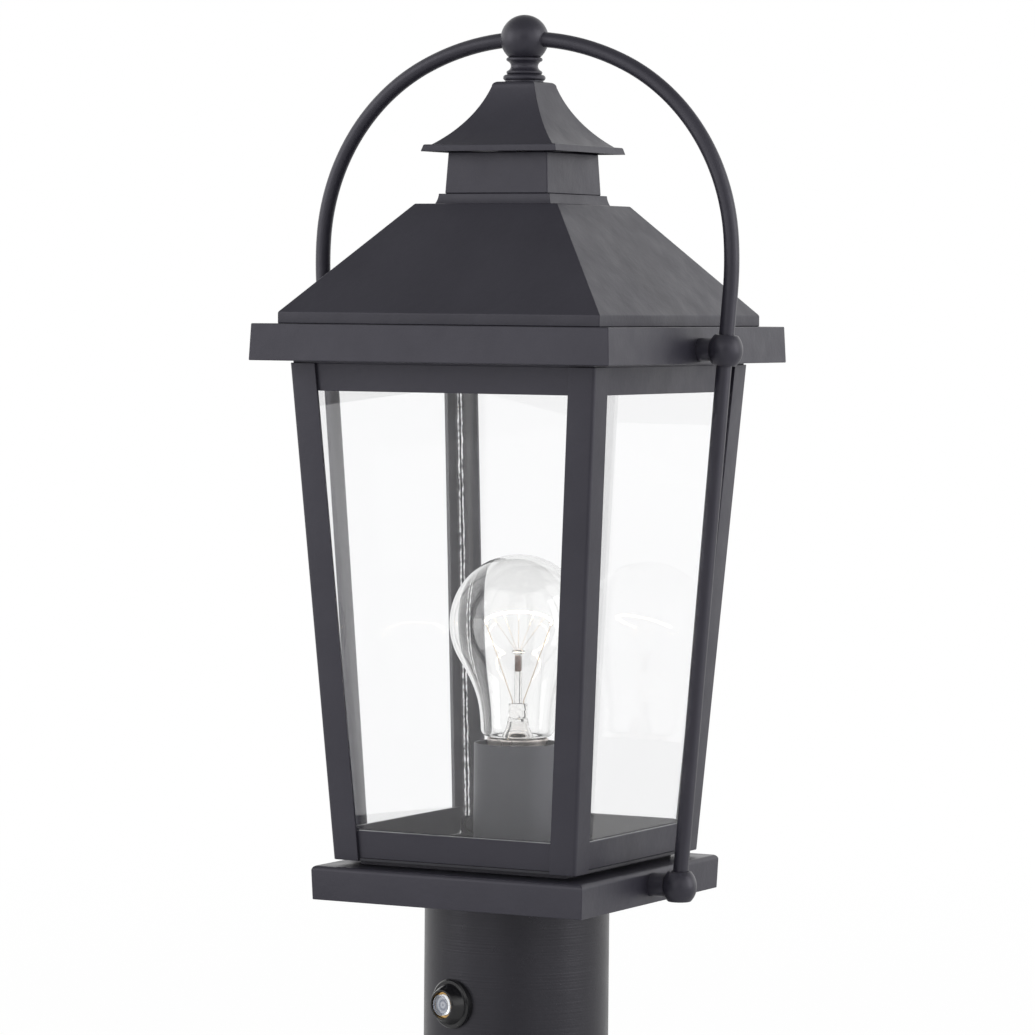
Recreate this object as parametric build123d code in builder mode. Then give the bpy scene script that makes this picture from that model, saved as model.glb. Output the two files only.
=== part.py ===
from build123d import *
import os
from math import atan, cos, radians, sin, sqrt, tan

os.makedirs("parts", exist_ok=True)

# A square post top lantern. It slips over a round post, holds one clear bulb in a glazed,
# tapered cage, and has a tiered roof under a bail of round rod. The origin is at the centre
# of the fitter tube's lower rim, +Z up, -Y the front. Lengths are in millimetres.

# ---- Fitter tube and photocell --------------------------------------------
TUBE_DROP = 127.0  # lower rim to the underside of the base pan
TUBE_R = 40.35
SOCKET_R = 38.6  # slips over a post of 76.2 mm outside diameter
SOCKET_DEPTH = 70.0  # the post's end stops on the shoulder here
UPPER_BORE_R = 37.2
SET_SCREW_HEIGHT = 22.0
SET_SCREW_TURNS = (30.0, 150.0, 270.0)
SET_SCREW_R = 3.0
SHAFT_CLEARANCE = 0.05
PHOTOCELL_TURN = -15.0  # degrees from the front, seen from above, minus is towards -X
PHOTOCELL_DROP = 44.3  # below the base pan

# ---- Base pan, plinth and floor -------------------------------------------
SHEET = 1.2
PAN_SHEET = 1.5
PAN_HEIGHT = 14.7
PAN_HALF = 65.8  # half of the pan's width under its rounded top edge
PAN_DRAFT = 0.5
PAN_EDGE_R = 4.0
PLINTH_HALF = 50.0
FLANGE_R = 58.0
FLANGE_THICK = 2.0
BASE_SCREW_AT = 36.0

# ---- Cage -----------------------------------------------------------------
CAGE_BOTTOM = TUBE_DROP + 17.2
CAGE_TOP = TUBE_DROP + 231.3
CAGE_HALF = 58.0  # half of the cage's width at its foot
LEAN = 0.069  # outward travel of each face for each millimetre up
POST_LEG = 12.0
POST_SHEET = 1.5
RAIL_HEIGHT = 11.8
GLASS_THICK = 2.0

# ---- Roof -----------------------------------------------------------------
FASCIA_BOTTOM = TUBE_DROP + 232.3
FASCIA_TOP = TUBE_DROP + 248.1
FASCIA_HALF_BOTTOM = 86.4
FASCIA_HALF_TOP = 85.7
SKIRT_HALF = 77.4
SKIRT_HEIGHT = 4.9
HIP_TOP = TUBE_DROP + 300.1
HIP_TOP_HALF = 34.6
PLINTH_TOP = TUBE_DROP + 304.5  # top of the moulded base under the cupola
CUPOLA_TOP = TUBE_DROP + 322.6
CUPOLA_HALF_TOP = 24.1
CUPOLA_HALF_BOTTOM = 25.1
CAP_BOTTOM = CUPOLA_TOP
CAP_LIP_HALF = 32.9
CAP_TOP = TUBE_DROP + 353.3
STUD_R = 3.0

# ---- Finial and bail ------------------------------------------------------
FINIAL_BALL_Z = TUBE_DROP + 371.9
FINIAL_BALL_R = 10.45
ROD_R = 3.175
ROD_LEAN = 4.75  # degrees from upright
BALL_R = 7.55
FASCIA_BALL_Z = TUBE_DROP + 238.4
LOWER_BALL_Z = TUBE_DROP + 8.3
STANDOFF_R = 4.75

# ---- Lamp -----------------------------------------------------------------
BULB_R = 30.15
BULB_CENTRE = TUBE_DROP + 116.0
BULB_RIM = TUBE_DROP + 68.2  # where the glass neck enters the metal base
CUP_R = 19.05
CUP_TOP = TUBE_DROP + 66.3
SHELL_R = 13.4  # inside of the lampholder's screw shell

PAN_TOP = TUBE_DROP + PAN_HEIGHT
FLOOR_TOP = CAGE_BOTTOM + SHEET
REACH = 200.0
SLOPE = cos(atan(LEAN))
SIDES = {"front": 0.0, "right": 90.0, "back": 180.0, "left": 270.0}
CORNERS = {"front_left": (-1, -1), "front_right": (1, -1), "back_right": (1, 1), "back_left": (-1, 1)}


def cage_half(height):
    """Half of the cage's width over its posts at a height."""
    return CAGE_HALF + LEAN * (height - CAGE_BOTTOM)


def face_plane(turn, height, setback):
    """Plane along one leaning face of the cage: x runs along the face, z points outwards."""
    out_x, out_y = sin(radians(turn)), -cos(radians(turn))
    reach = cage_half(height) - setback / SLOPE
    along = (cos(radians(turn)), sin(radians(turn)), 0)
    outward = (out_x * SLOPE, out_y * SLOPE, -LEAN * SLOPE)
    return Plane((out_x * reach, out_y * reach, height), x_dir=along, z_dir=outward)


def face_panel(turn, low, high, setback, thickness, end_gap, corner_cut=0.0):
    """Flat strip or pane lying in one leaning face, its ends end_gap short of the corners."""
    rise = (high - low) / SLOPE
    half_low = cage_half(low) - end_gap
    half_high = cage_half(high) - end_gap
    inward = (-sin(radians(turn)), cos(radians(turn)), 0)
    with BuildPart() as panel:
        with BuildSketch(face_plane(turn, low, setback)) as face:
            with BuildLine():
                Polyline((-half_low, 0), (half_low, 0), (half_high, rise), (-half_high, rise), close=True)
            make_face()
            if corner_cut:
                chamfer(face.vertices(), corner_cut)
        extrude(face.sketch, amount=thickness / SLOPE, dir=inward)
    return panel.part


def crossed(outline):
    """Solid common to one upright outline pushed through along Y and along X: its faces meet
    in mitres at the four corners. Call inside a BuildPart block."""
    for plane, mode in ((Plane.XZ, Mode.ADD), (Plane.YZ, Mode.INTERSECT)):
        with BuildSketch(plane) as section:
            add(outline)
        extrude(section.sketch, amount=REACH, both=True, mode=mode)


def save(piece, name):
    """Label a finished piece and write it under its node's name."""
    piece.label = name
    export_step(piece, f"parts/{name}.step")


# ---- Fitter tube: turned tube with a shoulder inside and a hole for the photocell ----
photocell_dir = Vector(sin(radians(PHOTOCELL_TURN)), -cos(radians(PHOTOCELL_TURN)), 0)
photocell_z = TUBE_DROP - PHOTOCELL_DROP
photocell_plane = Plane((0, 0, photocell_z), x_dir=(0, 0, 1), z_dir=photocell_dir)
BARREL_R = 8.0
TUBE_TOP = PAN_TOP - PAN_SHEET

with BuildPart() as fitter_tube:
    with BuildSketch(Plane.XZ):
        with BuildLine():
            Polyline(
                (SOCKET_R, 0),
                (TUBE_R, 0),
                (TUBE_R, TUBE_TOP),
                (UPPER_BORE_R, TUBE_TOP),
                (UPPER_BORE_R, SOCKET_DEPTH),
                (SOCKET_R, SOCKET_DEPTH),
                close=True,
            )
        make_face()
    revolve(axis=Axis.Z)
    with BuildSketch(photocell_plane):
        Circle(BARREL_R + SHAFT_CLEARANCE)
    extrude(amount=TUBE_R + 5, mode=Mode.SUBTRACT)
    for turn in SET_SCREW_TURNS:
        out = Vector(sin(radians(turn)), -cos(radians(turn)), 0)
        with BuildSketch(Plane((0, 0, SET_SCREW_HEIGHT), x_dir=(0, 0, 1), z_dir=out)):
            Circle(SET_SCREW_R + SHAFT_CLEARANCE)
        extrude(amount=TUBE_R + 5, mode=Mode.SUBTRACT)
save(fitter_tube.part, "fitter_tube")

# ---- Set screws: three cheese-head screws that clamp the post ----------------
SCREW_TIP = SOCKET_R + 0.3
SCREW_SHANK = 6.0
SCREW_HEAD_R = 5.0
SCREW_HEAD = 3.5
SLOT_WIDE = 1.4
SLOT_DEEP = 1.4

for number, turn in enumerate(SET_SCREW_TURNS, start=1):
    out = Vector(sin(radians(turn)), -cos(radians(turn)), 0)
    tip_plane = Plane((0, 0, SET_SCREW_HEIGHT), x_dir=(0, 0, 1), z_dir=out).offset(SCREW_TIP)
    with BuildPart() as set_screw:
        with BuildSketch(tip_plane):
            Circle(SET_SCREW_R)
        extrude(amount=SCREW_SHANK)
        with BuildSketch(tip_plane.offset(SCREW_SHANK)):
            Circle(SCREW_HEAD_R)
        extrude(amount=SCREW_HEAD)
        with BuildSketch(tip_plane.offset(SCREW_SHANK + SCREW_HEAD)):
            Rectangle(SLOT_WIDE, 2 * SCREW_HEAD_R + 1)
        extrude(amount=-SLOT_DEEP, mode=Mode.SUBTRACT)
    save(set_screw.part, f"set_screw_{number}")

# ---- Tube flange: ring welded round the tube's top, screwed up under the pan ----
base_screw_points = [(sx * BASE_SCREW_AT, sy * BASE_SCREW_AT) for sx, sy in CORNERS.values()]
M5_R = 2.4

with BuildPart() as tube_flange:
    with BuildSketch(Plane.XY.offset(TUBE_TOP - FLANGE_THICK)):
        Circle(FLANGE_R)
        Circle(TUBE_R, mode=Mode.SUBTRACT)
        with Locations(*base_screw_points):
            Circle(M5_R, mode=Mode.SUBTRACT)
    extrude(amount=FLANGE_THICK)
save(tube_flange.part, "tube_flange")

# ---- Base pan: inverted square tray, rounded along its top edges, mitred at its corners ----
NIPPLE_R = 4.9

with BuildSketch() as pan_outline:
    with BuildLine():
        l1 = Line((0, TUBE_DROP), (PAN_HALF - PAN_DRAFT, TUBE_DROP))
        l2 = Line(l1 @ 1, (PAN_HALF, PAN_TOP - PAN_EDGE_R))
        l3 = RadiusArc(l2 @ 1, (PAN_HALF - PAN_EDGE_R, PAN_TOP), -PAN_EDGE_R)
        l4 = Line(l3 @ 1, (0, PAN_TOP))
        mirror(about=Plane.YZ)
    make_face()

with BuildSketch() as pan_hollow:
    with BuildLine():
        inner = PAN_HALF - PAN_SHEET
        inner_r = PAN_EDGE_R - PAN_SHEET
        l1 = Line((0, TUBE_DROP - 1), (inner - PAN_DRAFT, TUBE_DROP - 1))
        l2 = Line(l1 @ 1, (inner, PAN_TOP - PAN_EDGE_R))
        l3 = RadiusArc(l2 @ 1, (inner - inner_r, PAN_TOP - PAN_SHEET), -inner_r)
        l4 = Line(l3 @ 1, (0, PAN_TOP - PAN_SHEET))
        mirror(about=Plane.YZ)
    make_face()

with BuildPart() as pan_void:
    crossed(pan_hollow.sketch)

with BuildPart() as base_pan:
    crossed(pan_outline.sketch)
    add(pan_void.part, mode=Mode.SUBTRACT)
    with BuildSketch(Plane.XY.offset(PAN_TOP)):
        Circle(NIPPLE_R)
        with Locations(*base_screw_points):
            Circle(M5_R)
    extrude(amount=-PAN_SHEET, mode=Mode.SUBTRACT)
save(base_pan.part, "base_pan")

# ---- Plinth plate: spacer that leaves a shadow gap between pan and cage --------
with BuildPart() as plinth_plate:
    with BuildSketch(Plane.XY.offset(PAN_TOP)):
        Rectangle(2 * PLINTH_HALF, 2 * PLINTH_HALF)
        Circle(NIPPLE_R, mode=Mode.SUBTRACT)
        with Locations(*base_screw_points):
            Circle(M5_R, mode=Mode.SUBTRACT)
    extrude(amount=CAGE_BOTTOM - PAN_TOP)
save(plinth_plate.part, "plinth_plate")

# ---- Floor plate: its edges stand out under the rails as a thin lip ------------
LIP = 0.7
lip_half = CAGE_HALF - LIP
lip_run = 2 * (CAGE_HALF - POST_LEG - 0.2)
floor_half = CAGE_HALF - POST_SHEET - 0.1

with BuildPart() as floor_plate:
    with BuildSketch(Plane.XY.offset(CAGE_BOTTOM)):
        Rectangle(2 * floor_half, 2 * floor_half)
        Rectangle(2 * lip_half, lip_run)
        Rectangle(lip_run, 2 * lip_half)
        Circle(NIPPLE_R, mode=Mode.SUBTRACT)
        with Locations(*base_screw_points):
            Circle(M5_R, mode=Mode.SUBTRACT)
    extrude(amount=SHEET)
save(floor_plate.part, "floor_plate")

# ---- Base screws and nuts: clamp floor, plinth, pan and tube flange together ----
PAN_HEAD_R = 4.6
PAN_HEAD = 2.6
NUT_ACROSS = 8.0
NUT_HIGH = 4.0
nut_low = TUBE_TOP - FLANGE_THICK - NUT_HIGH

with BuildPart() as base_screws:
    with Locations(*[(x, y, nut_low - 1) for x, y in base_screw_points]):
        Cylinder(M5_R, FLOOR_TOP - nut_low + 1, align=(Align.CENTER, Align.CENTER, Align.MIN))
    with Locations(*[(x, y, FLOOR_TOP) for x, y in base_screw_points]):
        Cylinder(PAN_HEAD_R, PAN_HEAD, align=(Align.CENTER, Align.CENTER, Align.MIN))
    head_edges = base_screws.edges().filter_by(GeomType.CIRCLE).group_by(Axis.Z)[-1]
    fillet(head_edges, 1.6)
    with Locations(*[(x, y, FLOOR_TOP + PAN_HEAD) for x, y in base_screw_points]):
        Box(1.2, 5.0, 2.4, mode=Mode.SUBTRACT)
        Box(5.0, 1.2, 2.4, mode=Mode.SUBTRACT)
save(base_screws.part, "base_screws")

with BuildPart() as base_nuts:
    with BuildSketch(Plane.XY.offset(nut_low)):
        with Locations(*base_screw_points):
            RegularPolygon(NUT_ACROSS / 2, 6, major_radius=False)
            Circle(M5_R, mode=Mode.SUBTRACT)
    extrude(amount=NUT_HIGH)
save(base_nuts.part, "base_nuts")

# ---- Corner clips and screws: small plates that press two panes' edges into a corner ----
GLASS_SETBACK = POST_SHEET + SHEET + 0.1
GLASS_END_GAP = GLASS_SETBACK + GLASS_THICK + 0.4
GLASS_TOP = CAGE_TOP - 3
CLIP_WIDE = 9.0
CLIP_HIGH = 8.0
CLIP_SHEET = 1.0
CLIP_HEAD_R = 3.3
CLIP_HEAD = 1.9
CLIP_PIN_R = 1.25
CLIP_PIN = 9.55  # reaches into the heel of the post
CLIP_SLOT = 0.9
clip_heights = (FLOOR_TOP + CLIP_HIGH / 2 + 0.1, GLASS_TOP - CLIP_HIGH / 2)


def clip_plane(sx, sy, height):
    """Plane across one corner of the cage, against both panes, with z pointing inwards."""
    pane_inside = cage_half(height) - (GLASS_SETBACK + GLASS_THICK) / SLOPE
    heel = pane_inside - CLIP_WIDE / 2 / sqrt(2) - 0.02
    return Plane((sx * heel, sy * heel, height), x_dir=(sy, -sx, 0), z_dir=(-sx, -sy, 2 * LEAN))


clip_planes = {
    corner: [clip_plane(sx, sy, height) for height in clip_heights] for corner, (sx, sy) in CORNERS.items()
}

with BuildPart() as corner_clips:
    for planes in clip_planes.values():
        with BuildSketch(*planes):
            RectangleRounded(CLIP_WIDE, CLIP_HIGH, 1.5)
            Circle(CLIP_PIN_R, mode=Mode.SUBTRACT)
        extrude(amount=CLIP_SHEET)
save(corner_clips.part, "corner_clips")

with BuildPart() as clip_screws:
    for planes in clip_planes.values():
        for plane in planes:
            with BuildSketch(plane.offset(CLIP_SHEET)):
                Circle(CLIP_PIN_R)
            extrude(amount=-CLIP_SHEET - CLIP_PIN)
            with BuildSketch(plane.offset(CLIP_SHEET)):
                Circle(CLIP_HEAD_R)
            extrude(amount=CLIP_HEAD)
            with BuildSketch(plane.offset(CLIP_SHEET + CLIP_HEAD)):
                Rectangle(CLIP_SLOT, 3 * CLIP_HEAD_R)
            extrude(amount=-CLIP_SLOT, mode=Mode.SUBTRACT)
save(clip_screws.part, "clip_screws")

# ---- Corner posts: bent angle strips that lean outwards along both faces --------
POST_BEND_R = 2.0
post_rise = CAGE_TOP - CAGE_BOTTOM
post_run = post_rise * sqrt(1 + 2 * LEAN**2)


def angle_section(sx, sy, outer, leg, sheet):
    """Corner points of an angle section whose heel is at (outer, outer) in one quadrant."""
    inner = outer - sheet
    toe = outer - leg
    points = [(outer, outer), (toe, outer), (toe, inner), (inner, inner), (inner, toe), (outer, toe)]
    return [(sx * x, sy * y) for x, y in points]


for corner, (sx, sy) in CORNERS.items():
    with BuildPart() as corner_post:
        with BuildSketch(Plane.XY.offset(CAGE_BOTTOM)):
            with BuildLine():
                Polyline(*angle_section(sx, sy, CAGE_HALF, POST_LEG, POST_SHEET), close=True)
            make_face()
        extrude(amount=post_run, dir=(sx * LEAN, sy * LEAN, 1))
        upright = [e for e in corner_post.edges() if e.length > post_rise / 2]
        by_reach = sorted(upright, key=lambda e: Vector(e.center().X, e.center().Y, 0).length)
        fillet(by_reach[-1], POST_BEND_R)
        with BuildSketch(*clip_planes[corner]):
            Circle(CLIP_PIN_R)
        extrude(amount=-CLIP_PIN, mode=Mode.SUBTRACT)
    save(corner_post.part, f"corner_post_{corner}")

# ---- Rails: strips spot-welded behind the posts, top and bottom of each face -----
RAIL_END_GAP = 4.6  # leaves the corner free for the clip screws
GLASS_CORNER_CUT = 6.0  # clipped corners let the clip screws pass between the panes

for name, low in (("bottom_rails", FLOOR_TOP), ("top_rails", CAGE_TOP - RAIL_HEIGHT)):
    with BuildPart() as rails:
        for turn in SIDES.values():
            add(face_panel(turn, low, low + RAIL_HEIGHT, POST_SHEET, SHEET, RAIL_END_GAP))
    save(rails.part, name)

for side, turn in SIDES.items():
    pane = face_panel(turn, FLOOR_TOP, GLASS_TOP, GLASS_SETBACK, GLASS_THICK, GLASS_END_GAP, GLASS_CORNER_CUT)
    save(pane, f"glass_{side}")

# ---- Top frame: flat ring on the cage that the roof rests on --------------------
top_frame_half = cage_half(CAGE_TOP) - POST_SHEET - 0.3

with BuildPart() as top_frame:
    with BuildSketch(Plane.XY.offset(CAGE_TOP)):
        Rectangle(2 * top_frame_half, 2 * top_frame_half)
        Rectangle(2 * top_frame_half - 22, 2 * top_frame_half - 22, mode=Mode.SUBTRACT)
    extrude(amount=FASCIA_BOTTOM - CAGE_TOP)
save(top_frame.part, "top_frame")

# ---- Roof fascia: square box section ring with flared sides ---------------------
FASCIA_FLANGE_HALF = 62.0
FASCIA_OPEN_HALF = 74.0

with BuildSketch() as fascia_outline:
    with BuildLine():
        Polyline(
            (0, FASCIA_BOTTOM), (FASCIA_HALF_BOTTOM, FASCIA_BOTTOM), (FASCIA_HALF_TOP, FASCIA_TOP), (0, FASCIA_TOP)
        )
        mirror(about=Plane.YZ)
    make_face()
    fillet([v for v in fascia_outline.vertices() if abs(v.X) > 1], 0.8)

with BuildSketch() as fascia_hollow:
    with BuildLine():
        Polyline(
            (0, FASCIA_BOTTOM + SHEET),
            (FASCIA_HALF_BOTTOM - SHEET, FASCIA_BOTTOM + SHEET),
            (FASCIA_HALF_TOP - SHEET, FASCIA_TOP - SHEET),
            (0, FASCIA_TOP - SHEET),
        )
        mirror(about=Plane.YZ)
    make_face()

with BuildPart() as fascia_void:
    crossed(fascia_hollow.sketch)

with BuildPart() as fascia:
    crossed(fascia_outline.sketch)
    add(fascia_void.part, mode=Mode.SUBTRACT)
    with BuildSketch(Plane.XY.offset(FASCIA_BOTTOM)):
        Rectangle(2 * FASCIA_FLANGE_HALF, 2 * FASCIA_FLANGE_HALF)
    extrude(amount=SHEET, mode=Mode.SUBTRACT)
    with BuildSketch(Plane.XY.offset(FASCIA_TOP)):
        Rectangle(2 * FASCIA_OPEN_HALF, 2 * FASCIA_OPEN_HALF)
    extrude(amount=-SHEET, mode=Mode.SUBTRACT)
save(fascia.part, "fascia")

# ---- Hip roof: four-sided sheet shell with a short upright skirt -----------------
skirt_top = FASCIA_TOP + SKIRT_HEIGHT

with BuildSketch() as hip_outline:
    with BuildLine():
        Polyline((0, FASCIA_TOP), (SKIRT_HALF, FASCIA_TOP), (SKIRT_HALF, skirt_top), (HIP_TOP_HALF, HIP_TOP), (0, HIP_TOP))
        mirror(about=Plane.YZ)
    make_face()

with BuildPart() as hip_roof:
    crossed(hip_outline.sketch)
    underside = hip_roof.faces().sort_by(Axis.Z)[0]
    offset(amount=-SHEET, openings=underside)
    with BuildSketch(Plane.XY.offset(HIP_TOP)):
        Circle(STUD_R + 0.2)
    extrude(amount=-SHEET, mode=Mode.SUBTRACT)
save(hip_roof.part, "hip_roof")

# ---- Cupola base: moulded square plate with coved edges --------------------------
COVE_HALF_TOP = 27.0
COVE_HALF_BOTTOM = 28.4

with BuildSketch() as cove_outline:
    with BuildLine():
        l1 = Line((0, HIP_TOP), (COVE_HALF_BOTTOM, HIP_TOP))
        l2 = Line((COVE_HALF_TOP, PLINTH_TOP - 1.2), (COVE_HALF_TOP, PLINTH_TOP))
        l3 = ThreePointArc(l1 @ 1, (COVE_HALF_TOP + 0.45, HIP_TOP + 1.5), l2 @ 0)
        l4 = Line(l2 @ 1, (0, PLINTH_TOP))
        mirror(about=Plane.YZ)
    make_face()

with BuildPart() as cupola_base:
    crossed(cove_outline.sketch)
    with BuildSketch(Plane.XY.offset(HIP_TOP)):
        Circle(STUD_R + 0.2)
    extrude(amount=PLINTH_TOP - HIP_TOP, mode=Mode.SUBTRACT)
save(cupola_base.part, "cupola_base")

# ---- Cupola box: four-sided tube, a little wider at its foot ---------------------
with BuildSketch() as box_outline:
    with BuildLine():
        Polyline((0, PLINTH_TOP), (CUPOLA_HALF_BOTTOM, PLINTH_TOP), (CUPOLA_HALF_TOP, CUPOLA_TOP), (0, CUPOLA_TOP))
        mirror(about=Plane.YZ)
    make_face()

with BuildPart() as cupola_box:
    crossed(box_outline.sketch)
    corners = [e for e in cupola_box.edges() if abs(e.center().X) > 20 and abs(e.center().Y) > 20]
    fillet(corners, 1.0)
    ends = [cupola_box.faces().sort_by(Axis.Z)[0], cupola_box.faces().sort_by(Axis.Z)[-1]]
    offset(amount=-SHEET, openings=ends)
save(cupola_box.part, "cupola_box")

# ---- Flared cap: concave four-sided cap with a rounded lip ------------------------
CAP_LIP_TOP = CAP_BOTTOM + 3.0
CAP_TOP_HALF = 10.2

with BuildSketch() as cap_outline:
    with BuildLine():
        l1 = Line((0, CAP_BOTTOM), (CAP_LIP_HALF, CAP_BOTTOM))
        l2 = Line(l1 @ 1, (CAP_LIP_HALF, CAP_BOTTOM + 0.6))
        l3 = RadiusArc(l2 @ 1, (CAP_LIP_HALF - 2.4, CAP_LIP_TOP), -2.4)
        l4 = Line(l3 @ 1, (CAP_LIP_HALF - 3.4, CAP_LIP_TOP))
        l5 = ThreePointArc(l4 @ 1, (18.0, CAP_BOTTOM + 14.3), (CAP_TOP_HALF + 0.3, CAP_TOP - 2.2))
        l6 = RadiusArc(l5 @ 1, (CAP_TOP_HALF - 1.9, CAP_TOP), -2.2)
        l7 = Line(l6 @ 1, (0, CAP_TOP))
        mirror(about=Plane.YZ)
    make_face()

with BuildSketch() as cap_hollow:
    with BuildLine():
        l1 = Line((0, CAP_BOTTOM - 1), (CAP_LIP_HALF - 1.4, CAP_BOTTOM - 1))
        l2 = Line(l1 @ 1, (CAP_LIP_HALF - 1.4, CAP_BOTTOM + 1.5))
        l3 = Line(l2 @ 1, (CAP_LIP_HALF - 4.6, CAP_BOTTOM + 1.5))
        l4 = ThreePointArc(l3 @ 1, (16.6, CAP_BOTTOM + 13.6), (9.0, CAP_TOP - 3.4))
        l5 = Line(l4 @ 1, (0, CAP_TOP - 3.4))
        mirror(about=Plane.YZ)
    make_face()

with BuildPart() as cap_void:
    crossed(cap_hollow.sketch)

with BuildPart() as flared_cap:
    crossed(cap_outline.sketch)
    add(cap_void.part, mode=Mode.SUBTRACT)
    with BuildSketch(Plane.XY.offset(CAP_TOP)):
        Circle(STUD_R + 0.2)
    extrude(amount=-6, mode=Mode.SUBTRACT)
save(flared_cap.part, "flared_cap")

# ---- Bail: round rod bent in three arcs, then straight down at a slight lean --------
TOP_ARC_R, TOP_ARC_END = 114.0, 25.5
SHOULDER_R, SHOULDER_END = 90.0, 86.0
SIDE_R, SIDE_END = 150.0, 90.0 + ROD_LEAN


def arc_step(start, radius, angle_from, angle_to):
    """End and middle of an arc that starts at a downward angle and bends further down."""
    points = []
    for angle in ((angle_from + angle_to) / 2, angle_to):
        across = radius * (sin(radians(angle)) - sin(radians(angle_from)))
        drop = radius * (cos(radians(angle_from)) - cos(radians(angle)))
        points.append((start[0] + across, start[1] - drop))
    return points


apex = (0.0, FINIAL_BALL_Z)
top_mid, top_end = arc_step(apex, TOP_ARC_R, 0, TOP_ARC_END)
shoulder_mid, shoulder_end = arc_step(top_end, SHOULDER_R, TOP_ARC_END, SHOULDER_END)
side_mid, side_end = arc_step(shoulder_end, SIDE_R, SHOULDER_END, SIDE_END)


def rod_x(height):
    """Distance of the straight rod's centre line from the axis at a height."""
    return side_end[0] - (side_end[1] - height) * sin(radians(ROD_LEAN)) / cos(radians(ROD_LEAN))


FLAT_HALF = 6.6  # the balls are cut flat above and below the rod
arm_low = FASCIA_BALL_Z + 2.0
arm_start_angle = 2.6  # the arm starts inside the finial ball
arm_start = arc_step(apex, TOP_ARC_R, 0, arm_start_angle)[1]
arm_first_mid = arc_step(arm_start, TOP_ARC_R, arm_start_angle, TOP_ARC_END)[0]

bail_arms = []
for name, side in (("bail_arm_left", -1), ("bail_arm_right", 1)):
    with BuildPart() as bail_arm:
        with BuildLine(Plane.XZ) as arm_path:
            a1 = ThreePointArc(
                (side * arm_start[0], arm_start[1]),
                (side * arm_first_mid[0], arm_first_mid[1]),
                (side * top_end[0], top_end[1]),
            )
            a2 = ThreePointArc(a1 @ 1, (side * shoulder_mid[0], shoulder_mid[1]), (side * shoulder_end[0], shoulder_end[1]))
            a3 = ThreePointArc(a2 @ 1, (side * side_mid[0], side_mid[1]), (side * side_end[0], side_end[1]))
            a4 = Line(a3 @ 1, (side * rod_x(arm_low), arm_low))
        with BuildSketch(Plane(arm_path.line @ 0, z_dir=arm_path.line % 0)):
            Circle(ROD_R)
        sweep()
    bail_arms.append(bail_arm.part)
    save(bail_arm.part, name)

# ---- Finial: turned ball on a ringed neck, drilled for the two ends of the bail -------
STUD_TOP = CAP_TOP + 10.0
NECK_JOIN_R = 6.6
neck_top = FINIAL_BALL_Z - sqrt(FINIAL_BALL_R**2 - NECK_JOIN_R**2)

with BuildPart() as finial:
    with BuildSketch(Plane.XZ):
        with BuildLine():
            l1 = Line((0, CAP_TOP), (8.9, CAP_TOP))
            l2 = ThreePointArc(l1 @ 1, (9.4, CAP_TOP + 1.3), (8.3, CAP_TOP + 2.9))
            l3 = ThreePointArc(l2 @ 1, (7.9, CAP_TOP + 3.9), (7.0, CAP_TOP + 5.0))
            l4 = ThreePointArc(l3 @ 1, (5.9, CAP_TOP + 6.9), (7.2, CAP_TOP + 8.9))
            l5 = ThreePointArc(l4 @ 1, (7.9, CAP_TOP + 9.7), (NECK_JOIN_R, neck_top))
            l6 = ThreePointArc(l5 @ 1, (FINIAL_BALL_R, FINIAL_BALL_Z), (0, FINIAL_BALL_Z + FINIAL_BALL_R))
            Line(l6 @ 1, (0, CAP_TOP))
        make_face()
    revolve(axis=Axis.Z)
    with BuildSketch(Plane.XY.offset(CAP_TOP)):
        Circle(STUD_R)
    extrude(amount=STUD_TOP - CAP_TOP, mode=Mode.SUBTRACT)
    for arm in bail_arms:
        add(arm, mode=Mode.SUBTRACT)
save(finial.part, "finial")

# ---- Roof stud: threaded rod through cap and cupola, with washer and nut under the hip ----
stud_bottom = HIP_TOP - SHEET - 10.0

with BuildPart() as roof_stud:
    with BuildSketch(Plane.XY.offset(stud_bottom)):
        Circle(STUD_R)
    extrude(amount=STUD_TOP - stud_bottom)
save(roof_stud.part, "roof_stud")

with BuildPart() as stud_washer:
    with BuildSketch(Plane.XY.offset(HIP_TOP - SHEET - 1.6)):
        Circle(12.0)
        Circle(STUD_R + 0.1, mode=Mode.SUBTRACT)
    extrude(amount=1.6)
save(stud_washer.part, "stud_washer")

with BuildPart() as stud_nut:
    with BuildSketch(Plane.XY.offset(HIP_TOP - SHEET - 1.6 - 5.0)):
        RegularPolygon(5.0, 6, major_radius=False)
        Circle(STUD_R, mode=Mode.SUBTRACT)
    extrude(amount=5.0)
save(stud_nut.part, "stud_nut")

# ---- Side rods: straight rods from the fascia balls down into the lower balls --------
rod_high = FASCIA_BALL_Z - 2.0
rod_low = LOWER_BALL_Z + 2.2

for name, side in (("side_rod_left", -1), ("side_rod_right", 1)):
    with BuildPart() as side_rod:
        start = Vector(side * rod_x(rod_low), 0, rod_low)
        end = Vector(side * rod_x(rod_high), 0, rod_high)
        with BuildSketch(Plane(start, z_dir=end - start)):
            Circle(ROD_R)
        extrude(amount=(end - start).length)
    save(side_rod.part, name)

# ---- Fascia balls: drilled balls where the arms end and the side rods begin ----------
SEAT_DEPTH = 1.6
ROD_HOLE_R = ROD_R + 0.02
HOLE_SHOULDER = 2.0  # both rods stop this far from the ball's centre
DRILL_RUN = 12.0


def rod_plane(side, height, along):
    """Plane square to a straight rod, a distance along it from the given height."""
    axis = Vector(side * sin(radians(ROD_LEAN)), 0, cos(radians(ROD_LEAN)))
    centre = Vector(side * rod_x(height), 0, height)
    return Plane(centre + axis * along, z_dir=axis)


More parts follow.
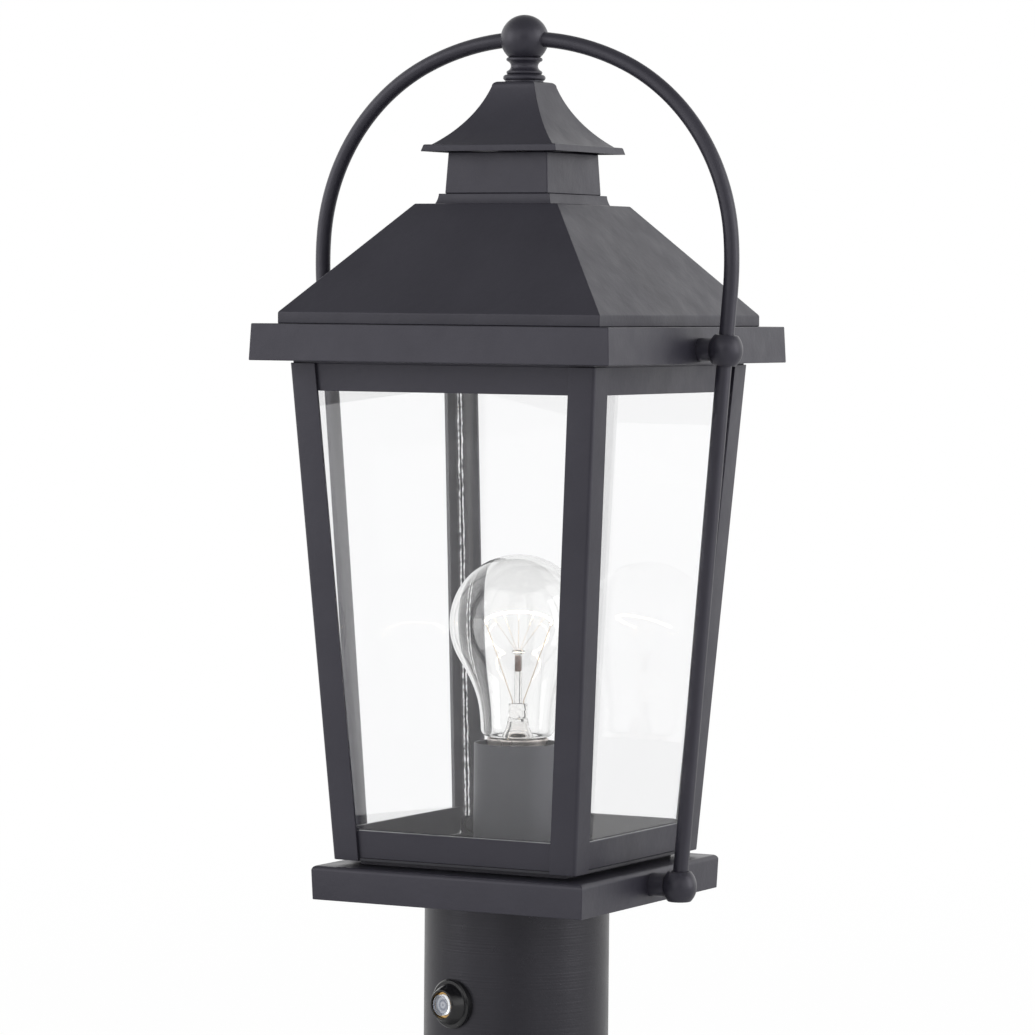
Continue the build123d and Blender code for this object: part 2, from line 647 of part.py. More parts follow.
with BuildPart() as fascia_balls:
    with Locations(*[(side * rod_x(FASCIA_BALL_Z), 0, FASCIA_BALL_Z) for side in (-1, 1)]):
        Sphere(BALL_R)
    for side in (-1, 1):
        for end in (-1, 1):
            with BuildSketch(rod_plane(side, FASCIA_BALL_Z, end * FLAT_HALF)):
                Circle(BALL_R)
            extrude(amount=end * BALL_R, mode=Mode.SUBTRACT)
            with BuildSketch(rod_plane(side, FASCIA_BALL_Z, end * HOLE_SHOULDER)):
                Circle(ROD_HOLE_R)
            extrude(amount=end * DRILL_RUN, mode=Mode.SUBTRACT)
        seat = rod_x(FASCIA_BALL_Z) - BALL_R + SEAT_DEPTH
        with BuildSketch(Plane.YZ.offset(side * seat)):
            with Locations((0, FASCIA_BALL_Z)):
                Circle(STANDOFF_R)
        extrude(amount=-side * BALL_R, mode=Mode.SUBTRACT)
save(fascia_balls.part, "fascia_balls")

# ---- Lower balls: open sockets that the side rods lift out of -------------------------
TIP_HOLE_R = ROD_R + 0.5
TIP_CLEARANCE = 0.6
tip_x = rod_x((rod_low + LOWER_BALL_Z + FLAT_HALF) / 2)

with BuildPart() as lower_balls:
    with Locations(*[(side * rod_x(LOWER_BALL_Z), 0, LOWER_BALL_Z) for side in (-1, 1)]):
        Sphere(BALL_R)
    for end in (-1, 1):
        with BuildSketch(Plane.XY.offset(LOWER_BALL_Z + end * FLAT_HALF)):
            Rectangle(2 * REACH, 2 * REACH)
        extrude(amount=end * BALL_R, mode=Mode.SUBTRACT)
    with BuildSketch(Plane.XY.offset(rod_low - TIP_CLEARANCE)):
        with Locations((-tip_x, 0), (tip_x, 0)):
            Circle(TIP_HOLE_R)
    extrude(amount=DRILL_RUN, mode=Mode.SUBTRACT)
    for side in (-1, 1):
        seat = rod_x(LOWER_BALL_Z) - BALL_R + SEAT_DEPTH
        with BuildSketch(Plane.YZ.offset(side * seat)):
            with Locations((0, LOWER_BALL_Z)):
                Circle(STANDOFF_R)
        extrude(amount=-side * BALL_R, mode=Mode.SUBTRACT)
save(lower_balls.part, "lower_balls")

# ---- Standoffs: short round bars from the fascia and the pan out to the balls ---------
standoffs = {
    "fascia_standoffs": (FASCIA_HALF_TOP, FASCIA_BALL_Z, fascia.part),
    "lower_standoffs": (PAN_HALF - PAN_DRAFT, LOWER_BALL_Z, base_pan.part),
}
for name, (inner_x, height, carrier) in standoffs.items():
    outer_x = rod_x(height) - BALL_R + SEAT_DEPTH
    with BuildPart() as standoff:
        for side in (-1, 1):
            with BuildSketch(Plane.YZ.offset(side * inner_x)):
                with Locations((0, height)):
                    Circle(STANDOFF_R)
            extrude(amount=side * (outer_x - inner_x))
        add(carrier, mode=Mode.SUBTRACT)
    save(standoff.part, name)

# ---- Nipple and lock nuts: hollow threaded tube that clamps the socket cup to the floor ----
NIPPLE_BORE_R = 3.5
NIPPLE_BOTTOM = TUBE_TOP - 5.0
CUP_SHEET = 1.0
LOCK_NUT_ACROSS = 14.0
LOCK_NUT_HIGH = 3.2
HOLDER_BOTTOM = FLOOR_TOP + CUP_SHEET + LOCK_NUT_HIGH
NIPPLE_TOP = HOLDER_BOTTOM + 5.5

with BuildPart() as nipple:
    with BuildSketch(Plane.XY.offset(NIPPLE_BOTTOM)):
        Circle(NIPPLE_R)
        Circle(NIPPLE_BORE_R, mode=Mode.SUBTRACT)
    extrude(amount=NIPPLE_TOP - NIPPLE_BOTTOM)
save(nipple.part, "nipple")

with BuildPart() as nipple_nuts:
    with BuildSketch(Plane.XY.offset(TUBE_TOP - LOCK_NUT_HIGH), Plane.XY.offset(FLOOR_TOP + CUP_SHEET)):
        RegularPolygon(LOCK_NUT_ACROSS / 2, 6, major_radius=False)
        Circle(NIPPLE_R, mode=Mode.SUBTRACT)
    extrude(amount=LOCK_NUT_HIGH)
save(nipple_nuts.part, "nipple_nuts")

# ---- Socket cup: drawn sheet cup that hides the lampholder ---------------------------
with BuildPart() as socket_cup:
    with BuildSketch(Plane.XY.offset(FLOOR_TOP)):
        Circle(CUP_R)
    extrude(amount=CUP_TOP - FLOOR_TOP)
    offset(amount=-CUP_SHEET, openings=socket_cup.faces().sort_by(Axis.Z)[-1])
    with BuildSketch(Plane.XY.offset(FLOOR_TOP)):
        Circle(NIPPLE_R)
    extrude(amount=CUP_SHEET, mode=Mode.SUBTRACT)
save(socket_cup.part, "socket_cup")

# ---- Lampholder: moulded body, screwed down on the nipple, with a bore for the screw shell ----
HOLDER_R = 17.0
HOLDER_TOP = CUP_TOP - 3.0
SHELL_SHEET = 0.4
SHELL_BOTTOM = TUBE_DROP + 37.0
SHELL_TOP = HOLDER_TOP - 3.0
SHELL_OUTER_R = SHELL_R + SHELL_SHEET

with BuildPart() as lampholder:
    with BuildSketch(Plane.XZ):
        with BuildLine():
            Polyline(
                (NIPPLE_R, HOLDER_BOTTOM),
                (HOLDER_R - 2, HOLDER_BOTTOM),
                (HOLDER_R, HOLDER_BOTTOM + 2),
                (HOLDER_R, HOLDER_TOP - 1.5),
                (HOLDER_R - 1, HOLDER_TOP),
                (SHELL_OUTER_R + 1, HOLDER_TOP),
                (SHELL_OUTER_R, HOLDER_TOP - 2),
                (SHELL_OUTER_R, SHELL_BOTTOM),
                (NIPPLE_BORE_R, SHELL_BOTTOM),
                (NIPPLE_BORE_R, NIPPLE_TOP),
                (NIPPLE_R, NIPPLE_TOP),
                close=True,
            )
        make_face()
    revolve(axis=Axis.Z)
save(lampholder.part, "lampholder")

# ---- Screw shell and centre contact: the lampholder's two terminals ------------------
with BuildPart() as screw_shell:
    with BuildSketch(Plane.XY.offset(SHELL_BOTTOM)):
        Circle(SHELL_OUTER_R)
    extrude(amount=SHELL_TOP - SHELL_BOTTOM)
    with BuildSketch(Plane.XY.offset(SHELL_BOTTOM + SHELL_SHEET)):
        Circle(SHELL_R)
    extrude(amount=SHELL_TOP - SHELL_BOTTOM, mode=Mode.SUBTRACT)
    with BuildSketch(Plane.XY.offset(SHELL_BOTTOM)):
        Circle(8.0)
    extrude(amount=SHELL_SHEET, mode=Mode.SUBTRACT)
save(screw_shell.part, "screw_shell")

CONTACT_TOP = TUBE_DROP + 39.1

with BuildPart() as centre_contact:
    with BuildSketch(Plane.XY.offset(SHELL_BOTTOM)):
        Circle(5.5)
    extrude(amount=0.8)
    with BuildSketch(Plane.XY.offset(SHELL_BOTTOM + 0.8)):
        Circle(3.2)
    extrude(amount=CONTACT_TOP - SHELL_BOTTOM - 0.8)
    fillet(centre_contact.edges().group_by(Axis.Z)[-1], 0.8)
save(centre_contact.part, "centre_contact")

# ---- Bulb base: aluminium screw cap with a glass insulator and a solder contact --------
BASE_R = 13.05
BASE_SHEET = 0.5
BASE_LOW = TUBE_DROP + 44.6
CAP_CONTACT = TUBE_DROP + 39.5

with BuildPart() as bulb_base:
    with BuildSketch(Plane.XZ):
        with BuildLine():
            Polyline(
                (BASE_R - BASE_SHEET, BULB_RIM),
                (BASE_R + 0.25, BULB_RIM),
                (BASE_R + 0.25, BULB_RIM - 0.8),
                (BASE_R, BULB_RIM - 1.8),
                (BASE_R, BASE_LOW + 1.8),
                (BASE_R - 1.8, BASE_LOW),
                (BASE_R - 2.2, BASE_LOW + 0.4),
                (BASE_R - BASE_SHEET, BASE_LOW + 2.1),
                close=True,
            )
        make_face()
    revolve(axis=Axis.Z)
save(bulb_base.part, "bulb_base")

with BuildPart() as bulb_insulator:
    with BuildSketch(Plane.XZ):
        with BuildLine():
            Polyline(
                (0, CAP_CONTACT + 1.0),
                (4.8, CAP_CONTACT + 1.0),
                (BASE_R - 1.8, BASE_LOW),
                (BASE_R - 2.2, BASE_LOW + 0.4),
                (0, BASE_LOW + 0.4),
                close=True,
            )
        make_face()
    revolve(axis=Axis.Z)
save(bulb_insulator.part, "bulb_insulator")

with BuildPart() as bulb_contact:
    with BuildSketch(Plane.XY.offset(CAP_CONTACT)):
        Circle(4.8)
    extrude(amount=1.0)
    fillet(bulb_contact.edges().group_by(Axis.Z)[0], 0.7)
save(bulb_contact.part, "bulb_contact")

# ---- Bulb envelope: blown glass, a ball that narrows to the neck in the base -----------
BULB_WALL = 0.7
JOIN_ANGLE = 31.0  # below the ball's equator, where the neck begins
NECK_R = 16.2
NECK_Z = TUBE_DROP + 73.2
SEAL_R = BASE_R - BASE_SHEET - 0.05


def bulb_section(wall, bottom):
    """Half section of the bulb, set inwards by the wall thickness."""
    radius = BULB_R - wall
    angle = radians(JOIN_ANGLE)
    join = (radius * cos(angle), BULB_CENTRE - radius * sin(angle))
    middle = (radius * cos(angle / 2 - radians(25)), BULB_CENTRE - radius * sin(angle / 2 - radians(25)))
    with BuildSketch() as section:
        with BuildLine():
            l1 = ThreePointArc((0, BULB_CENTRE + radius), middle, join)
            l2 = Spline(
                l1 @ 1,
                (19.3 - wall, TUBE_DROP + 89.2),
                (NECK_R - wall, NECK_Z),
                tangents=((-sin(angle), -cos(angle)), (-0.05, -1)),
            )
            l3 = ThreePointArc(l2 @ 1, (NECK_R - 1.0 - wall, NECK_Z - 2.4), (SEAL_R + 0.6 - wall, BULB_RIM + 0.8))
            l4 = Polyline(l3 @ 1, (SEAL_R - wall, BULB_RIM), (SEAL_R - wall, bottom), (0, bottom))
            Line(l4 @ 1, l1 @ 0)
        make_face()
    return section.sketch


SEAL_Z = BULB_RIM - 3.5

with BuildPart() as bulb_glass:
    with BuildSketch(Plane.XZ):
        add(bulb_section(0, SEAL_Z))
        add(bulb_section(BULB_WALL, SEAL_Z - 1), mode=Mode.SUBTRACT)
    revolve(axis=Axis.Z)
save(bulb_glass.part, "bulb_glass")

# ---- Bulb stem: flared glass tube, pinched flat round the wires, with a glass rod above ----
FLARE_R = SEAL_R - BULB_WALL
STEM_TUBE_R = 4.6
PRESS_LOW = TUBE_DROP + 76.7
PRESS_TOP = TUBE_DROP + 83.6
BUTTON_Z = TUBE_DROP + 105.9
BULB_TURN = 28.0  # the bulb's own left and right, turned from the lantern's

with BuildPart() as bulb_stem:
    with BuildSketch(Plane.XZ):
        with BuildLine():
            l1 = Line((FLARE_R, SEAL_Z), (FLARE_R, SEAL_Z + 1))
            l2 = ThreePointArc(l1 @ 1, (6.6, SEAL_Z + 5.2), (STEM_TUBE_R, PRESS_LOW - 2))
            l3 = Polyline(l2 @ 1, (STEM_TUBE_R, PRESS_LOW), (0, PRESS_LOW), (0, PRESS_LOW - 1.2))
            l4 = Line(l3 @ 1, (STEM_TUBE_R - 0.8, PRESS_LOW - 1.2))
            l5 = Line(l4 @ 1, (STEM_TUBE_R - 0.8, PRESS_LOW - 2))
            l6 = ThreePointArc(l5 @ 1, (5.8, SEAL_Z + 4.6), (FLARE_R - 0.8, SEAL_Z))
            Line(l6 @ 1, l1 @ 0)
        make_face()
    revolve(axis=Axis.Z)
    press_plane = Plane((0, 0, PRESS_LOW), x_dir=(cos(radians(BULB_TURN)), sin(radians(BULB_TURN)), 0), z_dir=(0, 0, 1))
    with BuildSketch(press_plane):
        RectangleRounded(8.2, 3.6, 1.7)
    extrude(amount=PRESS_TOP - PRESS_LOW)
    with BuildSketch(press_plane.offset(PRESS_TOP - PRESS_LOW)):
        Circle(1.6)
    extrude(amount=BUTTON_Z - PRESS_TOP)
    with BuildSketch(press_plane.offset(BUTTON_Z - PRESS_LOW)):
        Circle(2.8)
    extrude(amount=1.8)
    fillet(bulb_stem.edges().group_by(Axis.Z)[-1], 0.8)
save(bulb_stem.part, "bulb_stem")

# ---- Filament and its wires: tungsten coil in a tilted arc, on two leads and three hooks ----
FILAMENT_R = 14.2
FILAMENT_Z = TUBE_DROP + 119.0
FILAMENT_TILT = 14.0
FILAMENT_ENDS = (-12.0, 192.0)
HOOK_ANGLES = (35.0, 90.0, 145.0)
COIL_R = 0.5
LEAD_R = 0.35
HOOK_R = 0.2
turned = Plane((0, 0, FILAMENT_Z), x_dir=(cos(radians(BULB_TURN)), sin(radians(BULB_TURN)), 0), z_dir=(0, 0, 1))
filament_plane = turned.rotated((FILAMENT_TILT, 0, 0))


def on_filament(angle):
    """Point on the filament's arc, 0 degrees at the bulb's right and 90 at its back."""
    return filament_plane.from_local_coords(
        Vector(FILAMENT_R * cos(radians(angle)), FILAMENT_R * sin(radians(angle)), 0)
    )


def stretched_wire(start, end, radius, short=0.0):
    """Straight wire between two points that stops a little short of the end."""
    run = end - start
    with BuildPart() as wire:
        with BuildSketch(Plane(start, z_dir=run)):
            Circle(radius)
        extrude(amount=run.length - short)
    return wire.part


with BuildPart() as bulb_filament:
    with BuildLine(filament_plane) as coil_path:
        CenterArc((0, 0), FILAMENT_R, FILAMENT_ENDS[0], FILAMENT_ENDS[1] - FILAMENT_ENDS[0])
    with BuildSketch(Plane(coil_path.line @ 0, z_dir=coil_path.line % 0)):
        Circle(COIL_R)
    sweep()
save(bulb_filament.part, "bulb_filament")

with BuildPart() as bulb_wires:
    for side, angle in zip((1, -1), FILAMENT_ENDS):
        foot = turned.from_local_coords(Vector(side * 2.4, 0, PRESS_TOP - FILAMENT_Z + 0.17))
        add(stretched_wire(foot, on_filament(angle), LEAD_R, COIL_R))
    for angle in HOOK_ANGLES:
        reach = on_filament(angle)
        foot = Vector(reach.X, reach.Y, 0).normalized() * 1.6 + Vector(0, 0, BUTTON_Z + 1.8)
        add(stretched_wire(foot, reach, HOOK_R, COIL_R))
save(bulb_wires.part, "bulb_wires")

# ---- Photocell: threaded barrel through the tube wall, with a flange, a ring and a lens ----
CELL_FLANGE_R = 10.7
CELL_LENS_R = 4.55
CELL_RING_R = 5.75
BARREL_INSIDE = 14.0
photocell_section = Plane(
    (0, 0, photocell_z), x_dir=photocell_dir, z_dir=photocell_dir.cross(Vector(0, 0, 1))
)
photocell_axis = Axis((0, 0, photocell_z), photocell_dir)
BARREL_BACK = TUBE_R - BARREL_INSIDE
NOSE = TUBE_R + 6.8
POCKET = TUBE_R + 3.0

with BuildPart() as photocell_body:
    with BuildSketch(photocell_section):
        with BuildLine():
            Polyline(
                (BARREL_BACK, 0),
                (BARREL_BACK, BARREL_R),
                (TUBE_R - 1.7, BARREL_R),
                (TUBE_R - 1.7, CELL_FLANGE_R),
                (TUBE_R + 1.4, CELL_FLANGE_R),
                (TUBE_R + 2.0, CELL_FLANGE_R - 0.7),
                (TUBE_R + 2.0, 8.9),
                (NOSE - 0.4, 6.9),
                (NOSE, 6.5),
                (NOSE, CELL_RING_R),
                (POCKET, CELL_RING_R),
                (POCKET, 0),
                close=True,
            )
        make_face()
    revolve(axis=photocell_axis)
    add(fitter_tube.part, mode=Mode.SUBTRACT)
save(photocell_body.part, "photocell_body")

with BuildPart() as photocell_cell:
    with BuildSketch(photocell_plane.offset(POCKET)):
        Circle(CELL_LENS_R)
    extrude(amount=1.4)
save(photocell_cell.part, "photocell_cell")

with BuildPart() as photocell_lens:
    with BuildSketch(photocell_plane.offset(POCKET + 1.4)):
        Circle(CELL_LENS_R)
    extrude(amount=3.3)
    outer_rim = photocell_lens.edges().sort_by(photocell_axis)[-1]
    fillet(outer_rim, 0.6)
save(photocell_lens.part, "photocell_lens")

with BuildPart() as photocell_ring:
    with BuildSketch(photocell_plane.offset(POCKET)):
        Circle(CELL_RING_R)
        Circle(CELL_LENS_R, mode=Mode.SUBTRACT)
    extrude(amount=3.4)
save(photocell_ring.part, "photocell_ring")

CELL_NUT_ACROSS = 18.0
CELL_NUT = 4.0
nut_reach = sqrt(UPPER_BORE_R**2 - (CELL_NUT_ACROSS / sqrt(3)) ** 2) - 0.02

with BuildPart() as photocell_nut:
    with BuildSketch(photocell_plane.offset(nut_reach)):
        RegularPolygon(CELL_NUT_ACROSS / 2, 6, major_radius=False)
        Circle(BARREL_R, mode=Mode.SUBTRACT)
    extrude(amount=-CELL_NUT)
save(photocell_nut.part, "photocell_nut")

# ---- Wiring: lampholder and photocell leads, joined in two twist-on connectors -----------
WIRE_R = 1.1
CONNECTOR_R = 4.6
CONNECTOR_LONG = 17.0
MOUTH_R = 2.6
MOUTH_DEEP = 7.0
MOUTH_Z = TUBE_DROP - 24.0
CONNECTORS = {-1: (-13.0, 9.0), 1: (13.0, 11.0)}


def wire_run(points):
    """Insulated wire along straight runs with the widest bend that each corner allows."""
    radii = []
    for before, here, after in zip(points, points[1:], points[2:]):
        run_in = Vector(here) - Vector(before)
        run_out = Vector(after) - Vector(here)
        half_turn = radians(run_in.get_angle(run_out)) / 2
        radii.append(0.45 * min(run_in.length, run_out.length) / tan(half_turn))
    with BuildPart() as wire:
        with BuildLine() as route:
            FilletPolyline(*points, radius=radii)
        with BuildSketch(Plane(route.line @ 0, z_dir=route.line % 0)):
            Circle(WIRE_R)
        sweep()
    return wire.part


with BuildPart() as wires:
    for side, (x, y) in CONNECTORS.items():
        lamp_route = [
            (side * 1.4, 0, SHELL_BOTTOM),
            (side * 1.4, 0, TUBE_DROP + 2),
            (side * 4.5, 3.5, TUBE_DROP - 8),
            (x - side * 2.0, y + 1.0, TUBE_DROP - 13),
            (x, y + 1.25, MOUTH_Z + 3),
            (x, y + 1.25, MOUTH_Z - MOUTH_DEEP),
        ]
        cell_route = [
            photocell_plane.from_local_coords(Vector(0, -side * 3.0, BARREL_BACK)),
            photocell_plane.from_local_coords(Vector(0, -side * 3.0, BARREL_BACK - 9)),
            Vector(side * 9.0 - 2.0, -8.0, photocell_z + 17),
            Vector(x, y - 6.0, TUBE_DROP - 14.5),
            Vector(x, y - 1.25, MOUTH_Z + 4),
            Vector(x, y - 1.25, MOUTH_Z - MOUTH_DEEP),
        ]
        for route in (lamp_route, cell_route):
            add(wire_run(route))
save(wires.part, "wires")

with BuildPart() as wire_connectors:
    for x, y in CONNECTORS.values():
        with BuildSketch(Plane.XY.offset(MOUTH_Z)):
            with Locations((x, y)):
                Circle(CONNECTOR_R)
        extrude(amount=-CONNECTOR_LONG, taper=6)
    fillet(wire_connectors.edges().group_by(Axis.Z)[0], 1.2)
    with BuildSketch(Plane.XY.offset(MOUTH_Z)):
        with Locations(*CONNECTORS.values()):
            Circle(MOUTH_R)
    extrude(amount=-MOUTH_DEEP, mode=Mode.SUBTRACT)
save(wire_connectors.part, "wire_connectors")
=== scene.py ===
import math
import random

import bpy
from mathutils import Matrix, Vector, noise


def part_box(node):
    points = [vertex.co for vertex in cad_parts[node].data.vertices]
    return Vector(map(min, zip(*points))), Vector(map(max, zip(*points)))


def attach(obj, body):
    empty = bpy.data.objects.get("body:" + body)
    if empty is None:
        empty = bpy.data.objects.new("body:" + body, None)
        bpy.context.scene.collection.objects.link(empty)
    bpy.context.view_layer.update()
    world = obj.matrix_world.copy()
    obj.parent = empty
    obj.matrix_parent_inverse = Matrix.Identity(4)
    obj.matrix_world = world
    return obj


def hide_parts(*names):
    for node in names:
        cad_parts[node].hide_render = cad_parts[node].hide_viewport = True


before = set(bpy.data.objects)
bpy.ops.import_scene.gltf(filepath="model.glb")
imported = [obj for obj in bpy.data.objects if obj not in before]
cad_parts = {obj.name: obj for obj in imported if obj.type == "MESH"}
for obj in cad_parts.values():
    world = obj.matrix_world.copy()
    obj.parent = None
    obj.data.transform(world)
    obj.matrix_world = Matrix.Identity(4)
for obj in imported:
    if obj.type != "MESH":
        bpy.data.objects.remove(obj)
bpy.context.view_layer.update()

# ---- Camera ----
# A long lens about two metres from the lantern, a little above the middle of the panes and
# 28 degrees round from the front. The photograph is square and cuts the tube off below.
EYE_AZIMUTH = math.radians(28.05)
EYE_DISTANCE = 2.0664
EYE_HEIGHT = 0.3874
EYE_DOWN = math.radians(2.661)
EYE_TURN = math.radians(0.036)
EYE_ROLL = math.radians(0.50)

bpy.ops.object.camera_add()
camera = bpy.context.object
camera.data.lens = 165.3
eye = (EYE_DISTANCE * math.sin(EYE_AZIMUTH), -EYE_DISTANCE * math.cos(EYE_AZIMUTH), EYE_HEIGHT)
camera.matrix_world = (
    Matrix.Translation(eye)
    @ Matrix.Rotation(EYE_AZIMUTH + EYE_TURN, 4, "Z")
    @ Matrix.Rotation(math.pi / 2 - EYE_DOWN, 4, "X")
    @ Matrix.Rotation(EYE_ROLL, 4, "Z")
)
bpy.context.scene.camera = camera
bpy.context.scene.view_settings.view_transform = "Standard"


# ---- Floor ----
# A plain white sweep under the lantern. To the camera and through glass it is white, a shade
# greyer near the tube. Mirrored in the coat it is dim near the tube and brighter further
# off, most of all behind the lantern.
def feed(tree, target, inputs):
    """Set or link a node's inputs, given by name or number."""
    for name, value in inputs.items():
        if isinstance(value, bpy.types.NodeSocket):
            tree.links.new(value, target.inputs[name])
        else:
            target.inputs[name].default_value = value
    return target


def node(tree, kind, inputs=None, **settings):
    """New shader node with its settings and its inputs."""
    fresh = tree.nodes.new("ShaderNode" + kind)
    for name, value in settings.items():
        setattr(fresh, name, value)
    return feed(tree, fresh, inputs or {})


def new_material(name):
    """New material, its node tree and its shader."""
    finish = bpy.data.materials.new(name)
    finish.use_nodes = True
    return finish, finish.node_tree, finish.node_tree.nodes["Principled BSDF"]


def rays(tree, *kinds):
    """Factor that is 1 for the kinds of ray that Light Path names."""
    path = node(tree, "LightPath").outputs
    total = path[f"Is {kinds[0]} Ray"]
    for kind in kinds[1:]:
        total = node(tree, "Math", {0: total, 1: path[f"Is {kind} Ray"]}, operation="MAXIMUM").outputs[0]
    return total


def choose(tree, factor, plain, chosen):
    """One of two values by a factor of 0 or 1, or a value between them."""
    return node(tree, "Mix", {"Factor": factor, "A": plain, "B": chosen}).outputs["Result"]


def between(tree, value, from_low, from_high, to_low, to_high):
    """A value mapped smoothly from one range to another, and held at its ends."""
    ends = {"From Min": from_low, "From Max": from_high, "To Min": to_low, "To Max": to_high}
    ramp = node(tree, "MapRange", {**ends, "Value": value}, interpolation_type="SMOOTHSTEP")
    return ramp.outputs["Result"]


bpy.ops.mesh.primitive_plane_add(size=40)
floor = bpy.context.object
floor.name = "floor"
sweep, tree, matt = new_material("white_sweep")
feed(tree, matt, {"Base Color": (0.85, 0.85, 0.85, 1), "Roughness": 0.9, "Specular IOR Level": 0.1})
where = node(tree, "TexCoord").outputs["Object"]
away = node(tree, "VectorMath", {0: where}, operation="LENGTH").outputs["Value"]
side = node(tree, "SeparateXYZ", {0: where}).outputs["Y"]
seen = between(tree, away, 0.3, 1.5, 0.975, 1.0)
behind = between(tree, away, 0.4, 5.0, 0.1, 1.5)
before = between(tree, away, 0.8, 6.0, 0.08, 0.8)
mirrored = between(tree, side, -0.2, 0.5, before, behind)
by_ray = choose(tree, rays(tree, "Camera", "Transmission"), mirrored, seen)
direct = rays(tree, "Camera", "Transmission", "Glossy")
share = node(tree, "Math", {0: direct, 1: by_ray}, operation="MULTIPLY").outputs[0]
glow = node(tree, "Emission").outputs[0]
blend = node(tree, "MixShader", {"Fac": share, 1: matt.outputs[0], 2: glow})
feed(tree, tree.nodes["Material Output"], {"Surface": blend.outputs[0]})
floor.data.materials.append(sweep)

# ---- Light ----
# A white studio: bright walls behind and on both sides, a dimmer ceiling, and the dark open
# side of the tent that the lantern was photographed through, with soft boxes left and right.
world = bpy.data.worlds.new("white_studio")
bpy.context.scene.world = world
world.use_nodes = True
tree = world.node_tree
heading = node(tree, "TexCoord").outputs["Generated"]
parts = node(tree, "SeparateXYZ", {0: heading}).outputs
OPEN_SIDE = (math.sin(EYE_AZIMUTH), -math.cos(EYE_AZIMUTH), 0)
facing_it = node(tree, "VectorMath", {0: heading, 1: OPEN_SIDE}, operation="DOT_PRODUCT")
front = between(tree, facing_it.outputs["Value"], 0.88, 0.99, 1.5, 0.05)
walls = between(tree, parts["Y"], -0.1, 0.4, front, 1.35)
level = between(tree, parts["Z"], 0.25, 0.85, walls, 0.38)
strength = choose(tree, rays(tree, "Camera", "Transmission"), level, 1.0)
feed(tree, tree.nodes["Background"], {"Color": (1, 1, 1, 1), "Strength": strength})


def soft_box(name, place, target, width, height, power):
    """Rectangular soft box at a place, facing a target."""
    bpy.ops.object.light_add(type="AREA", location=place)
    box = bpy.context.object
    box.name = name
    box.data.shape = "RECTANGLE"
    box.data.size = width
    box.data.size_y = height
    box.data.energy = power
    box.rotation_mode = "QUATERNION"
    box.rotation_quaternion = (Vector(target) - Vector(place)).to_track_quat("-Z", "Y")


MIDDLE = (0, 0, 0.28)
soft_box("right_box", (2.2, 0.5, 0.9), MIDDLE, 1.2, 1.8, 14)
soft_box("left_box", (-1.7, -1.5, 0.8), MIDDLE, 1.0, 1.6, 7)

# ---- Fitter tube ----
# The tube that slips over the post: turned steel with a shoulder inside, where the post's
# end stops. Three set screws go through its wall near the rim and the photocell higher up.
MM = 0.001
TUBE_R = 40.35
SOCKET_R = 38.6
UPPER_BORE_R = 37.2
ROUND = 128


def span(name):
    """Heights of a CAD node's lowest and highest points, in millimetres."""
    return tuple(corner.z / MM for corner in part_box(name))


def low(name):
    """Height of a CAD node's lowest point, in millimetres."""
    return span(name)[0]


def high(name):
    """Height of a CAD node's highest point, in millimetres."""
    return span(name)[1]


def pick(piece):
    """Select one piece alone and make it the active one."""
    bpy.ops.object.select_all(action="DESELECT")
    piece.select_set(True)
    bpy.context.view_layer.objects.active = piece


def edit_all(piece):
    """Open a piece in edit mode with everything selected."""
    pick(piece)
    bpy.ops.object.mode_set(mode="EDIT")
    bpy.ops.mesh.select_mode(type="VERT")
    bpy.ops.mesh.select_all(action="SELECT")


def close_up(piece, merge=0.00001):
    """Merge doubled points, turn the faces outwards and leave edit mode."""
    edit_all(piece)
    bpy.ops.mesh.remove_doubles(threshold=merge)
    bpy.ops.mesh.normals_make_consistent(inside=False)
    bpy.ops.object.mode_set(mode="OBJECT")


def ringed(name, profile, corners=ROUND):
    """Piece drawn as one ring of corners, extruded and resized along (half width, height)
    points in millimetres. Four corners make a mitred square form, many a turned one."""
    reach = math.sqrt(2) if corners == 4 else 1.0
    half, height = profile[0]
    bpy.ops.object.select_all(action="DESELECT")
    bpy.ops.mesh.primitive_circle_add(
        vertices=corners,
        radius=half * reach * MM,
        location=(0, 0, height * MM),
        rotation=(0, 0, math.pi / 4 if corners == 4 else 0),
    )
    piece = bpy.context.object
    piece.name = name
    bpy.ops.object.transform_apply()
    edit_all(piece)
    for (half_from, low_end), (half_to, top_end) in zip(profile, profile[1:]):
        bpy.ops.mesh.extrude_region_move(TRANSFORM_OT_translate={"value": (0, 0, (top_end - low_end) * MM)})
        grow = half_to / half_from
        bpy.ops.transform.resize(value=(grow, grow, 1), center_override=(0, 0, top_end * MM))
    bpy.ops.object.mode_set(mode="OBJECT")
    close_up(piece)
    return piece


def arc(across, up, radius, start, end, steps=6):
    """Points of an arc in a profile; 0 degrees points outwards and 90 up."""
    turns = [math.radians(start + (end - start) * k / steps) for k in range(steps + 1)]
    return [(across + radius * math.cos(t), up + radius * math.sin(t)) for t in turns]


def flat_ring(inner, outer, foot, top):
    """Profile of a ring with a rectangular section."""
    return [(inner, foot), (outer, foot), (outer, top), (inner, top), (inner, foot)]


def plug(radius, foot, top):
    """Profile of a solid round bar."""
    return [(0.01, foot), (radius, foot), (radius, top), (0.01, top)]


def soften(piece, width, segments=3, limit=30):
    """Round every edge sharper than the limit and smooth the shading."""
    pick(piece)
    bpy.ops.object.shade_smooth_by_angle(angle=math.radians(limit))
    if width:
        edge = piece.modifiers.new("edge", "BEVEL")
        edge.width = width * MM
        edge.segments = segments
        edge.limit_method = "ANGLE"
        edge.angle_limit = math.radians(limit)
        edge.harden_normals = True
        bpy.ops.object.modifier_apply(modifier=edge.name)
    return piece


def place(piece, matrix):
    """Move a finished mesh to its place, with its object left at the origin."""
    piece.data.transform(matrix)
    piece.data.update()
    return piece


